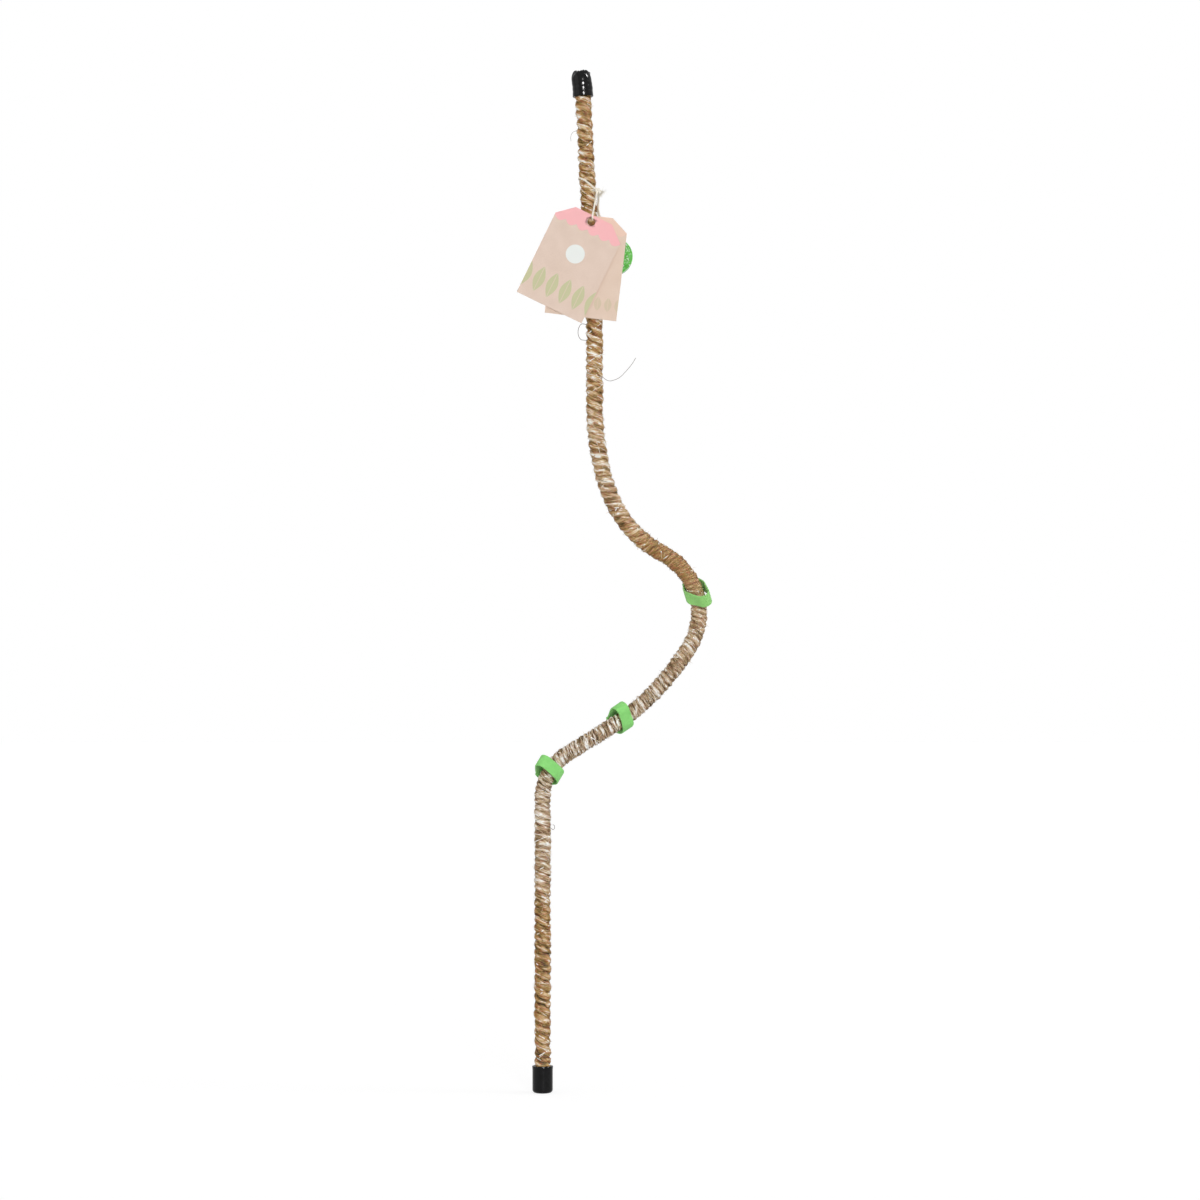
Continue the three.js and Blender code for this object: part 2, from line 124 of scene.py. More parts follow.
# Ties, as in the part. Each has the stem's place across the pole, its slack and its fall to the front.
STRAP_THICKNESS = 1.5
STRAP_WIDTH = 12.5
STRAP_OVERLAP = 50 / 360  # of a turn
STEM_RADIUS = 5
TILTED_FROM = 12
TILTED_TO = 3
LAP_START = 0.97
TIES = {"low_tie": (-8, 2.5, -22), "mid_tie": (-8, 1.4, -26), "high_tie": (5.1, 1.4, 32)}


# The pole's bent middle line


def stacked(*parts):
    """Points from their coordinates, each an array or one number."""
    return np.stack(np.broadcast_arrays(*parts), axis=-1)


def lay_stretches():
    """Start, length, heading, turn and first point of each stretch of the middle line, as columns."""
    bent = [(math.radians(turn), size * (abs(math.radians(turn)) if turn else 1)) for turn, size in BENDS]
    foot = POLE_LENGTH - sum(length for _, length in bent)
    rows = []
    start = heading = x = z = 0.0
    for turn, length in [(0.0, foot), *bent]:
        rows.append((start, length, heading, turn, x, z))
        middle = heading + turn / 2
        chord = length * np.sinc(turn / math.tau)
        x += chord * math.sin(middle)
        z += chord * math.cos(middle)
        heading += turn
        start += length
    return np.array(rows).T


STARTS, LENGTHS, HEADINGS, TURNS, FIRST_X, FIRST_Z = lay_stretches()


def pole_at(distance):
    """Points of the middle line at distances from the foot, and its headings there."""
    distance = np.asarray(distance, float)
    i = np.clip(np.searchsorted(STARTS, distance, side="right") - 1, 0, len(STARTS) - 1)
    along = distance - STARTS[i]
    turned = TURNS[i] * along / LENGTHS[i]
    middle = HEADINGS[i] + turned / 2
    chord = along * np.sinc(turned / math.tau)
    x = FIRST_X[i] + chord * np.sin(middle)
    z = FIRST_Z[i] + chord * np.cos(middle)
    return stacked(x, 0, z), HEADINGS[i] + turned


def ways_at(heading):
    """Unit vectors along and across the pole where it has this heading."""
    sine, cosine = np.sin(heading), np.cos(heading)
    return stacked(sine, 0, cosine), stacked(cosine, 0, -sine)


def round_pole(distance, radius, angle, lift=0.0):
    """Points beside the pole: angle 0 is towards +X of a straight pole, 90 degrees towards +Y."""
    point, heading = pole_at(distance)
    along, across = ways_at(heading)
    out = across * np.cos(angle)[..., None] + DEPTH * np.sin(angle)[..., None]
    return point + out * np.asarray(radius)[..., None] + along * np.asarray(lift)[..., None]


def joint_point(name):
    return np.array(joints[name]["pos_m"]) / MM


def distance_of(point):
    """Distance from the foot of the middle line's place nearest to a point."""
    steps = np.arange(0, POLE_LENGTH, 0.05)
    return steps[np.linalg.norm(pole_at(steps)[0] - point, axis=1).argmin()]


HINGES = [distance_of(joint_point(name)) for name in BEND_JOINTS]
TWINE_AT = POLE_LENGTH - TWINE_FROM_TOP


# Noise and curves

CURVE_STEPS = 24  # of a smooth line, from one of its given points to the next


def value_noise(points, seed):
    """Smooth noise from -1 to 1 at points in the last axis, one lattice cell to a unit."""
    points = np.asarray(points, float)
    cell = np.floor(points).astype(np.int64)
    part = points - cell
    ease = part * part * (3 - 2 * part)
    total = np.zeros(points.shape[:-1])
    for corner in np.ndindex(2, 2, 2):
        at = cell + corner
        mixed = at[..., 0] * 73856093 ^ at[..., 1] * 19349663 ^ at[..., 2] * 83492791 ^ seed * 40503
        mixed = (mixed ^ (mixed >> 13)) * 1274126177 & 0xFFFFFFFF
        value = ((mixed ^ (mixed >> 15)) & 0xFFFF) / 32767.5 - 1
        weight = np.where(corner, ease, 1 - ease).prod(axis=-1)
        total += weight * value
    return total


def smoothstep(x, low, high):
    t = np.clip((x - low) / (high - low), 0, 1)
    return t * t * (3 - 2 * t)


def unit(vectors):
    return vectors / np.maximum(np.linalg.norm(vectors, axis=-1, keepdims=True), 1e-12)


def even_angles(count):
    """Angles round a ring, one for each of its points."""
    return np.linspace(0, math.tau, count, endpoint=False)


def gaps_between(line):
    return np.linalg.norm(np.diff(line, axis=0), axis=1)


def run_along(gaps):
    """Distance to each point of a line that has these gaps between its points."""
    return np.concatenate([[0], np.cumsum(gaps)])


def points_at(line, places, wanted):
    """Points of a line at wanted places, where its own points have these places."""
    return stacked(*(np.interp(wanted, places, column) for column in line.T))


def between(a, b, low, high, t):
    """From a at low to b at high."""
    return (a * (high - t) + b * (t - low)) / (high - low)


def smooth_line(points, step):
    """A centripetal Catmull-Rom curve through points, with points about step apart."""
    p = np.array(points, float)
    p = np.vstack([2 * p[0] - p[1], p, 2 * p[-1] - p[-2]])
    knots = run_along(np.sqrt(gaps_between(p)))
    fine = []
    for i in range(1, len(p) - 2):
        t = np.linspace(knots[i], knots[i + 1], CURVE_STEPS, endpoint=False)[:, None]
        near = knots[i - 1 : i + 3]
        level = p[i - 1 : i + 3]
        for reach in (1, 2):
            level = [between(*ends, t) for ends in zip(level, level[1:], near, near[reach:])]
        fine.append(between(*level, near[1], near[2], t))
    fine = np.vstack([*fine, p[-2]])
    along = run_along(gaps_between(fine))
    count = max(2, math.ceil(along[-1] / step)) + 1
    return points_at(fine, along, np.linspace(0, along[-1], count))


def frames_along(line):
    """Tangents of a line and two normals that turn with it as little as they can."""
    tangent = unit(np.gradient(line, axis=0))
    side = np.zeros_like(line)
    start = np.eye(3)[np.abs(tangent[0]).argmin()]
    side[0] = unit(start - tangent[0] * (start @ tangent[0]))
    for i in range(1, len(line)):
        side[i] = unit(side[i - 1] - tangent[i] * (side[i - 1] @ tangent[i]))
    return tangent, side, np.cross(tangent, side)


# Meshes


def ring_faces(rings, sides):
    """Quads that join rings of points, ring after ring."""
    here = np.arange(rings - 1)[:, None] * sides
    j = np.arange(sides)
    there = here + sides
    beside = (j + 1) % sides
    return stacked(here + j, here + beside, there + beside, there + j).reshape(-1, 4)


def tube_faces(rings, sides):
    """Quads of a tube along rings of points, and its two end faces."""
    end = np.arange(sides)[None]
    return [ring_faces(rings, sides), end[:, ::-1], (rings - 1) * sides + end]


def turned_over(faces):
    return [f[:, ::-1] for f in faces]


def add_object(name, data):
    made = bpy.data.objects.new(name, data)
    bpy.context.scene.collection.objects.link(made)
    return made


class Shape:
    """Points and faces that are gathered before they become one mesh."""

    def __init__(self):
        self.points = []
        self.faces = []
        self.tints = []
        self.maps = []
        self.count = 0

    def add(self, points, faces, tint=0.0, places=None):
        """points is (n, 3), faces a list of index arrays; each point has a tint and a place in the map."""
        points = np.asarray(points, float).reshape(-1, 3)
        count = len(points)
        self.points.append(points)
        self.faces += [f + self.count for f in faces]
        self.tints.append(np.broadcast_to(np.asarray(tint, float).reshape(-1), count))
        self.maps.append(np.zeros((count, 2)) if places is None else places.reshape(-1, 2))
        self.count += count
        return self

    def tube(self, line, radius, sides):
        """A round tube with closed ends along a line. radius is one number or one for each point."""
        _, side, other = frames_along(line)
        angle = even_angles(sides)[:, None]
        ring = side[:, None] * np.cos(angle) + other[:, None] * np.sin(angle)
        radius = np.broadcast_to(radius, len(line))[:, None, None]
        self.add(line[:, None] + ring * radius, tube_faces(len(line), sides))

    def make(self, name, material, mapped=False):
        """The mesh object, with its tint as a point attribute and, if mapped, the map to bake by."""
        points = np.concatenate(self.points)
        corners = np.concatenate([f.ravel() for f in self.faces])
        sizes = np.concatenate([np.full(len(f), f.shape[1]) for f in self.faces])
        mesh = bpy.data.meshes.new(name)
        mesh.vertices.add(len(points))
        mesh.vertices.foreach_set("co", (points * MM).astype(np.float32).ravel())
        mesh.loops.add(len(corners))
        mesh.loops.foreach_set("vertex_index", corners.astype(np.int32))
        mesh.polygons.add(len(sizes))
        mesh.polygons.foreach_set("loop_start", (np.cumsum(sizes) - sizes).astype(np.int32))
        mesh.polygons.foreach_set("use_smooth", np.ones(len(sizes), bool))
        mesh.update(calc_edges=True)
        tint = mesh.attributes.new("tint", "FLOAT", "POINT")
        tint.data.foreach_set("value", np.concatenate(self.tints).astype(np.float32))
        if mapped:
            set_map(mesh, "OFBake", np.concatenate(self.maps))
        mesh.materials.append(material)
        return add_object(name, mesh)


def set_map(mesh, name, places):
    """Adds a UV map that has a place for each point."""
    corners = np.zeros(len(mesh.loops), np.int32)
    mesh.loops.foreach_get("vertex_index", corners)
    mesh.uv_layers.new(name=name).uv.foreach_set("vector", places[corners].astype(np.float32).ravel())


def seat(piece, body, slot, *nodes):
    """Fixes a piece to its body, and hides the nodes that it stands for; slot is not used."""
    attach(piece, body)
    for node in nodes:
        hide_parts(node)


# Materials


def linear(code):
    """A colour written as 0xRRGGBB, for a shader."""
    parts = [(code >> shift & 255) / 255 for shift in (16, 8, 0)]
    return [c / 12.92 if c <= 0.04045 else ((c + 0.055) / 1.055) ** 2.4 for c in parts] + [1.0]


class Nodes:
    """Short calls that add nodes to a tree."""

    def __init__(self, tree):
        self.tree = tree

    def fill(self, socket, value):
        """Gives a socket a value, or links it to another socket."""
        if isinstance(value, bpy.types.NodeSocket):
            self.tree.links.new(value, socket)
        else:
            socket.default_value = value

    def node(self, kind, settings=None, **inputs):
        """A new node; an input is called by its name, or by i and its number."""
        made = self.tree.nodes.new("ShaderNode" + kind)
        for key, value in (settings or {}).items():
            setattr(made, key, value)
        for key, value in inputs.items():
            self.fill(made.inputs[int(key[1:]) if key[1:].isdigit() else key], value)
        return made

    def math(self, operation, a, b=0.0, c=0.0):
        return self.node("Math", {"operation": operation}, i0=a, i1=b, i2=c).outputs[0]

    def seen(self):
        """1 for rays that show the background: from the camera, in a gloss or through glass."""
        ray = self.node("LightPath").outputs
        seen = self.math("MAXIMUM", ray["Is Camera Ray"], ray["Is Glossy Ray"])
        return self.math("MAXIMUM", seen, ray["Is Transmission Ray"])


class Look(Nodes):
    """A Principled material and short calls for what feeds it."""

    def __init__(self, name, specular=0.5, **constants):
        self.material = bpy.data.materials.new(name)
        self.material.use_nodes = True
        super().__init__(self.material.node_tree)
        self.shader = self.tree.nodes["Principled BSDF"]
        self.feed("Specular IOR Level", specular)
        for socket, value in constants.items():
            self.feed(socket.replace("_", " "), value)

    def feed(self, socket, value):
        self.fill(self.shader.inputs[socket], value)

    def place(self, stretch):
        """The object's own coordinates in millimetres, each way divided by stretch."""
        coords = self.node("TexCoord").outputs["Object"]
        return self.node("Mapping", i0=coords, i3=[1 / MM / s for s in stretch]).outputs[0]

    def noise(self, stretch, detail, rough=0.5):
        """Noise whose lumps are about this long each way; one number stands for three."""
        stretch = np.broadcast_to(stretch, 3).tolist()
        place = self.place(stretch)
        return self.node("TexNoise", i0=place, Scale=1.0, Detail=detail, Roughness=rough).outputs["Fac"]

    def ramp(self, value, stops):
        made = self.node("ValToRGB", i0=value)
        elements = made.color_ramp.elements
        while len(elements) < len(stops):
            elements.new(0.5)
        for element, (at, code) in zip(elements, stops):
            element.position = at
            element.color = linear(code)
        return made.outputs[0]

    def mix(self, share, *colours):
        """Mixes two colours, each a code or a socket."""
        a, b = (linear(c) if isinstance(c, int) else c for c in colours)
        return self.node("Mix", {"data_type": "RGBA"}, i0=share, i6=a, i7=b).outputs[2]

    def sum(self, a, b, share):
        """A share of a and the rest of b."""
        return self.math("MULTIPLY_ADD", a, share, self.math("MULTIPLY", b, 1 - share))

    def bump(self, height, depth, strength):
        """depth is the bump's height in millimetres."""
        made = self.node("Bump", Height=height, Distance=depth * MM, Strength=strength)
        self.feed("Normal", made.outputs[0])

    def vary(self, value, low, high):
        """Roughness between low and high."""
        self.feed("Roughness", self.node("MapRange", i0=value, i3=low, i4=high).outputs[0])

    def grain(self, value, stops, rough=None, relief=None):
        """Colour, roughness and relief that follow one value, and the finished material."""
        self.feed("Base Color", self.ramp(value, stops))
        if rough:
            self.vary(value, *rough)
        if relief:
            self.bump(value, *relief)
        return self.material


# Colours of coir from its darkest to its palest tint: golden, russet and grey
COIR_STOPS = (0.0, 0.2, 0.4, 0.58, 0.76, 0.9, 1.0)
COIR_COLOURS = [
    (0x3F3014, 0x705A2C, 0xA17E40, 0xC6A062, 0xDCC18E, 0xEFE6D2, 0xFCFAF4),
    (0x43230F, 0x7A4724, 0xA8683A, 0xC88F62, 0xDEB994, 0xF0E3D6, 0xFCF8F4),
    (0x3A2E22, 0x6E5C48, 0xA08F7A, 0xC4B6A4, 0xDCD2C6, 0xF0EBE3, 0xFCFBF8),
]
# How grey the coir is at heights over the ground, in metres
GREY_SHARES = [
    (0.17, 0x303030), (0.2, 0xA0A0A0), (0.3, 0xC0C0C0), (0.36, 0xC0C0C0), (0.44, 0xA8A8A8),
    (0.462, 0xA8A8A8), (0.485, 0x606060), (0.52, 0x505050), (0.56, 0x909090), (0.68, 0x303030),
]


def coir_look(name, shade, roughness):
    """Coir, its colour from the tint that each point carries, golden in places and russet in others."""
    look = Look(name, specular=0.14)
    streak = look.noise((2.2, 2.2, 0.5), 3)
    own = look.node("Attribute", {"attribute_name": "tint"}).outputs["Fac"]
    tint = look.math("SUBTRACT", look.math("MULTIPLY_ADD", streak, 0.24, own), 0.12 + shade)
    golden, russet, grey = (look.ramp(tint, list(zip(COIR_STOPS, codes))) for codes in COIR_COLOURS)
    patch = look.node("MapRange", i0=look.noise((4, 4, 1.6), 3), i1=0.47, i2=0.6).outputs[0]
    height = look.node("SeparateXYZ", i0=look.place((1 / MM, 1 / MM, 1 / MM))).outputs[2]
    look.feed("Base Color", look.mix(look.ramp(height, GREY_SHARES), look.mix(patch, golden, russet), grey))
    look.vary(streak, roughness - 0.12, roughness + 0.15)
    look.bump(look.noise(0.5, 3), 0.12, 0.5)
    return look.material


def thread_look():
    """Pale clear monofilament, with painted highlights that turn it white in patches."""
    look = Look("binding_thread", specular=0.3)
    # Painted highlights: the palest stop is near white
    stops = [(0.36, 0xCDB48A), (0.46, 0xEFE6D4), (0.54, 0xFFFEFA)]
    return look.grain(look.noise(5, 1), stops, rough=(0.3, 0.12))


def vinyl_look():
    """Glossy black dipped vinyl, a little uneven."""
    look = Look("black_vinyl", specular=0.14)
    look.bump(look.noise(3.5, 1), 0.05, 0.3)
    return look.grain(look.noise((4, 4, 7), 3), [(0.3, 0x080808), (0.7, 0x121213)], rough=(0.08, 0.18))


def twine_look():
    """Cream cotton, each ply with finer yarn lines and a little dust."""
    look = Look("cotton_twine", specular=0.2, Roughness=0.9, Sheen_Weight=0.3)
    stops = [(0.25, 0xDCCFB4), (0.5, 0xF6F0E2), (0.75, 0xFFFCF5)]
    return look.grain(look.noise(0.35, 3), stops, relief=(0.15, 0.6))


def tie_look(name, low, high):
    """Hook-and-loop tape: a felted pile with its own small shade changes."""
    look = Look(name, specular=0.15, Sheen_Weight=0.15)
    pile = look.noise(0.45, 4, 0.65)
    look.vary(pile, 0.75, 0.95)
    look.bump(pile, 0.02, 0.7)
    return look.grain(look.sum(look.noise(6, 2), pile, 0.35), [(0.36, low), (0.62, high)])


def roll_look():
    """Tape edges pressed into a smooth face, with painted highlights as white flecks and glints in places.
    """
    look = Look("roll_green", specular=0.12)
    pile = look.noise(0.45, 4, 0.65)
    dent = look.noise(3.4, 1)
    green = look.ramp(look.sum(dent, pile, 0.5), [(0.36, 0x5CC048), (0.62, 0x74D45E)])
    # Painted highlights: near-white flecks where a noise peaks
    painted_glint_fleck = look.ramp(look.noise(1.5, 0), [(0.7, 0x000000), (0.76, 0xFFFFFF)])
    look.feed("Base Color", look.mix(painted_glint_fleck, green, 0xF4FBEE))
    look.vary(pile, 0.1, 0.22)
    look.bump(dent, 1.3, 0.9)
    return look.material


def paper_look():
    """Plain paperboard with its fibres."""
    look = Look("core_paper", specular=0.25)
    stops = [(0.3, 0xBFA986), (0.7, 0xD2BF9F)]
    return look.grain(look.noise(0.6, 4), stops, rough=(0.75, 0.95), relief=(0.05, 0.5))


def steel_look():
    """Drawn steel wire, with fine lines along it."""
    look = Look("drawn_steel", Metallic=1.0)
    return look.grain(look.noise((0.1, 0.1, 8), 2), [(0.3, 0x9C9FA2), (0.7, 0xC6C8CA)], rough=(0.25, 0.5))


def sleeve_look():
    """Matt dark sleeve with an extruded grain."""
    look = Look("sleeve_plastic", specular=0.3)
    stops = [(0.3, 0x30302E), (0.7, 0x44443F)]
    return look.grain(look.noise((0.4, 0.4, 6), 3), stops, rough=(0.6, 0.85), relief=(0.05, 0.4))


# Camera, light and floor

CAMERA_PLACE = (0.0541, -2.93, 0.4115)
CAMERA_AIM = (0.0541, 0.0, 0.4645)
CAMERA_LENS = 93
FRONT_SIDE = (0.17, -1, 0.2)
RIGHT_SIDE = (1.0, -0.15, 0.75)
LEFT_SIDE = (-1.0, -0.5, 0.35)


def add_camera():
    data = bpy.data.cameras.new("photo_camera")
    data.lens = CAMERA_LENS
    data.sensor_width = 36
    data.clip_end = 100
    camera = add_object("photo_camera", data)
    camera.location = CAMERA_PLACE
    camera.rotation_euler = (Vector(CAMERA_AIM) - Vector(CAMERA_PLACE)).to_track_quat("-Z", "Y").to_euler()
    bpy.context.scene.camera = camera


def add_sun(name, come_from, strength, size, gloss_only=False):
    """A lamp with parallel light; size is the width of its disc in degrees, and softens its shadows."""
    data = bpy.data.lights.new(name, "SUN")
    data.energy = strength
    data.angle = math.radians(size)
    lamp = add_object(name, data)
    lamp.rotation_euler = Vector(come_from).to_track_quat("Z", "Y").to_euler()
    lamp.visible_diffuse = not gloss_only


def add_world(ambient):
    """White where it is seen, and a dimmer light on everything else."""
    world = bpy.data.worlds.new("studio")
    world.use_nodes = True
    nodes = Nodes(world.node_tree)
    background = nodes.tree.nodes["Background"].inputs
    nodes.fill(background["Color"], (1, 1, 1, 1))
    level = nodes.node("MapRange", i0=nodes.seen(), i3=ambient, i4=1.0)
    nodes.fill(background["Strength"], level.outputs[0])
    bpy.context.scene.world = world


def add_floor(half, glow, lit):
    """A white floor. What is seen of it glows for the most part, and the rest takes the shadow.

    lit is how bright the lamps and the world make a white floor.
    """
    mesh = bpy.data.meshes.new("floor")
    corners = [(-half, -half, 0), (half, -half, 0), (half, half, 0), (-half, half, 0)]
    mesh.from_pydata(corners, [], [(0, 1, 2, 3)])
    material = bpy.data.materials.new("white_floor")
    material.use_nodes = True
    nodes = Nodes(material.node_tree)
    nodes.tree.nodes.clear()
    shade = (1 - glow) / lit
    light = nodes.node("Emission", Strength=glow)
    shaded = nodes.node("BsdfDiffuse", Color=(shade, shade, shade, 1))
    plain = nodes.node("BsdfDiffuse", Color=(0.8, 0.8, 0.8, 1))
    shown = nodes.node("AddShader", i0=light.outputs[0], i1=shaded.outputs[0])
    mixed = nodes.node("MixShader", i0=nodes.seen(), i1=plain.outputs[0], i2=shown.outputs[0])
    nodes.node("OutputMaterial", Surface=mixed.outputs[0])
    mesh.materials.append(material)
    add_object("floor", mesh)


bpy.context.scene.view_settings.view_transform = "Standard"
add_camera()
add_world(ambient=0.5)
add_sun("front_light", FRONT_SIDE, strength=1.2, size=14)
add_sun("side_light", RIGHT_SIDE, strength=0.5, size=14)
add_sun("left_light", LEFT_SIDE, strength=0.3, size=40)
add_sun("front_gloss", FRONT_SIDE, strength=7, size=18, gloss_only=True)
add_sun("side_gloss", RIGHT_SIDE, strength=5, size=14, gloss_only=True)
add_floor(half=12, glow=0.8, lit=0.68)


# Twine: a sloping loop round the pole, a knot with frayed tails, and two hanging loops

LOOP_RADIUS = POLE_RADIUS + SLIP_GAP + TWINE_RADIUS
LOOP_DRAWN = 0.9
LOOP_HELD = 2.0
LOOP_POINTS = 21
TWINE_STEP = 0.4  # between points along it
TWINE_BODY = "pole_section_7"
PLY_COUNT = 3
PLY_SHARE = 0.56  # of the twine's thickness
PLY_TURN = 4.6  # length of one turn of the plies
PLY_SIDES = 7
LINT_REACH = 1.6
LINT_RADII = np.linspace(0.07, 0.03, 5)
BARE_REACH = 20  # of the twine without lint, each way from what hangs on it
KNOT_POINTS = 90
TAIL_HAIRS = 60
TAIL_HAIR_RADII = np.linspace(0.12, 0.05, 7)
TAIL_CURL = 1.2


def slope_lift(angle):
    return -LOOP_RADIUS * math.tan(math.radians(TWINE_SLOPE)) * np.cos(angle)


KNOT = round_pole(TWINE_AT, POLE_RADIUS + SLIP_GAP + KNOT_RADIUS, KNOT_ANGLE, slope_lift(KNOT_ANGLE))
LOOP_MIDDLE = pole_at(TWINE_AT)[0]
TAG_PIVOT = joint_point("front_tag_swing")
ROLL_PIVOT = joint_point("roll_swing")
TWINE = twine_look()


def loop_route():
    """Round the pole from the knot to the knot, drawn into the coir and held up by it at the front."""
    angles = KNOT_ANGLE + np.linspace(0, math.tau, LOOP_POINTS)
    lift = slope_lift(angles) + LOOP_HELD * np.clip(-np.sin(angles), 0, 1)
    route = round_pole(TWINE_AT, LOOP_RADIUS - LOOP_DRAWN, angles, lift)
    route[[0, -1]] = KNOT
    return route


def add_plies(shape, line, radius):
    """Plies twisted round a line, together as thick as a twine of this radius."""
    _, side, other = frames_along(line)
    step = np.linalg.norm(line[1] - line[0])
    twist = math.tau * np.arange(len(line)) * step / PLY_TURN
    ply = radius * PLY_SHARE
    for k in range(PLY_COUNT):
        angle = (twist + math.tau * k / PLY_COUNT)[:, None]
        middle = line + (side * np.cos(angle) + other * np.sin(angle)) * (radius - ply)
        shape.tube(middle, ply, PLY_SIDES)


def add_lint(shape, line, count, seed):
    """Short loose hairs on a twine, but not where a tag or the roll hangs on it."""
    draw = np.random.default_rng(seed)
    t = np.linspace(0, 1, len(LINT_RADII))[:, None]
    for i in draw.integers(2, len(line) - 2, count):
        way = unit(draw.normal(size=3))
        bent = unit(way + 0.8 * draw.normal(size=3))
        long = LINT_REACH * draw.uniform(0.4, 1)
        hair = line[i] + way * (TWINE_RADIUS * 0.7 + long * t) + bent * long * 0.5 * t * t
        if min(math.dist(line[i], pivot) for pivot in (TAG_PIVOT, ROLL_PIVOT)) > BARE_REACH:
            shape.tube(hair, LINT_RADII, 3)


def twine_piece(name, route, lint, seed):
    line = smooth_line(route, TWINE_STEP)
    shape = Shape()
    add_plies(shape, line, TWINE_RADIUS)
    add_lint(shape, line, lint, seed)
    piece = shape.make(name, TWINE)
    seat(piece, TWINE_BODY, "cotton_twine")
    return piece, line


def hanging_twine(name, route, lint, seed):
    """A hanging loop, which leaves the knot and comes back to it."""
    piece, line = twine_piece(name, [KNOT, *(LOOP_MIDDLE + np.array(route)), KNOT], lint, seed)
    gaps_between(line).sum() * MM
    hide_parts("hang_twine")


def add_fray(shape, end, way, draw):
    """Loose hairs that spread from the end of a tail."""
    u = np.linspace(0, 1, len(TAIL_HAIR_RADII))[:, None]
    for _ in range(TAIL_HAIRS):
        spread = way + 0.5 * draw.normal(size=3)
        long = TAIL_LENGTH * draw.uniform(0.4, 1.0)
        curl = draw.normal(size=3) * TAIL_CURL
        shape.tube(end + unit(spread) * long * u + curl * u * u, TAIL_HAIR_RADII, 4)


def knot_piece():
    """An overhand knot, drawn as a trefoil, and its two frayed tails."""
    shape = Shape()
    t = np.linspace(0, math.tau, KNOT_POINTS)
    across = np.sin(t) + 2 * np.sin(2 * t)
    up = np.cos(t) - 2 * np.cos(2 * t)
    trefoil = stacked(across, -np.sin(3 * t), up) * KNOT_RADIUS / 4
    add_plies(shape, smooth_line(KNOT + trefoil, TWINE_STEP), TWINE_RADIUS)
    draw = np.random.default_rng(7)
    for fall in TAIL_FALLS:
        way = unit(np.array([1, -TAIL_FORWARD, -fall]))
        start = KNOT + way * KNOT_RADIUS * 0.6
        route = [start, start + way * 1.2 + [0, 0, 0.4], start + way * TAIL_LENGTH * 0.5]
        tail = smooth_line(route, TWINE_STEP)
        add_plies(shape, tail, TWINE_RADIUS * 0.9)
        add_fray(shape, tail[-3], way, draw)
    seat(shape.make("twine_knot", TWINE), TWINE_BODY, "cotton_twine")


hanging_twine("twine_tag_loop", TAG_ROUTE, lint=40, seed=21)
hanging_twine("twine_roll_loop", ROLL_ROUTE, lint=60, seed=22)
pole_loop, _ = twine_piece("twine_pole_loop", loop_route(), lint=45, seed=23)
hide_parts("hang_twine")
knot_piece()


# Coir winding: bands in slanted turns, covered with fibres, bound by thread

SKIN_SIDES = 76
SKIN_STEP = 0.5
SKIN_IN_CAP = 5  # of the winding that the cap hides
SKIN_LOW = CAP_LENGTH - SKIN_IN_CAP
SKIN_HIGH = POLE_LENGTH - SKIN_LOW
CROWN_RADIUS = 7.5
GROOVE_DEPTH = 1.6
BAND_PITCH = 8.2  # from one band to the next, where they are widest
BAND_STARTS = 2  # bands that run side by side
# Lumps of the bands: length, share of a band's width, and seed of their noise
LUMPS = {
    "swell": (5, math.inf, 11),
    "edge": (3.4, math.inf, 12),
    "tone": (4.6, math.inf, 14),
    "tuft": (1.9, 0.3, 5),
    "fine": (1.5, 0.14, 6),
    # cream and glint: pale fibres and painted highlights, on the band crests
    "cream_and_glint": (1.3, 0.24, 9),
}
LANE_SHIFT = 7.3  # between the noises of two bands side by side
RING_WANDER = 0.24  # shares of a pitch by which the bands leave their places
SLOW_WANDER = 0.4
EDGE_UNEVEN = 0.55
SWELL_HEIGHT = 0.46
TUFT_HEIGHT = 0.26
FINE_HEIGHT = 0.2
MEAN_TINT = 0.53
TONE_TINT = 0.12
TUFT_TINT = 0.28
FINE_TINT = 0.22
# Cream-white on the band crests: partly pale fibres, partly painted highlights
CREAM_AND_GLINT_TINT = 0.4
# Painted shade: how much darker the tint is in the grooves between bands
GROOVE_PAINTED_SHADE = 0.26
PRESSED_ROOM = 7.55
LOOSE_ROOM = 12.0
FIBRE_STEPS = 18
FIBRES_PER_MM = 7.2
FIBRE_LENGTHS = (14, 46)
FIBRE_RADII = (0.14, 0.26)
FIBRE_LIFTS = (-0.02, 0.26)
FIBRE_SWAY = 0.35
FIBRE_SLANT = 0.13  # spread of their slants, in radians
FIBRE_OVERRUN = 6  # past the ends of their stretch
LOOSE_END = 0.5  # mean lift of a fibre's ends
LIFT_REACH = 6  # from a cap to where the fibres lift freely
FIBRES_PALER = 0.04  # than the winding under them
FIBRE_TINT = 0.14
STRAY_SHARE = 0.3  # of the fibres that lie, short ones across the others
STRAY_LENGTHS = (6, 16)
STRAY_SLANT = 0.5
STRAY_TINT = 0.22
# Fibres that are paler: partly pale straw, partly painted highlights
PALE_GLINT_SHARE = 0.07
PALE_GLINT_TINT = 0.3
HAIRS_PER_MM = 0.55
HAIR_LENGTHS = (1.5, 7)
HAIR_RADIUS = 0.09
HAIR_RISES = (0.06, 0.45)  # shares of their length
HAIR_TINTS = (0.3, 0.85)
THREADS = [(-22.0, 0.9), (29.0, 2.9)]  # length of one turn, against the hand of its sign, and start
THREAD_RADIUS = 0.45
THREAD_SIDES = 6
THREAD_STEP = 0.3
THREAD_LIFT = 0.2
THREAD_DIP = 1.4
THREAD_WANDER = 0.35
COIR_BASE = coir_look("coir_band", shade=0.05, roughness=0.75)
COIR_FIBRE = coir_look("coir_fibre", shade=0.0, roughness=0.4)
THREAD = thread_look()

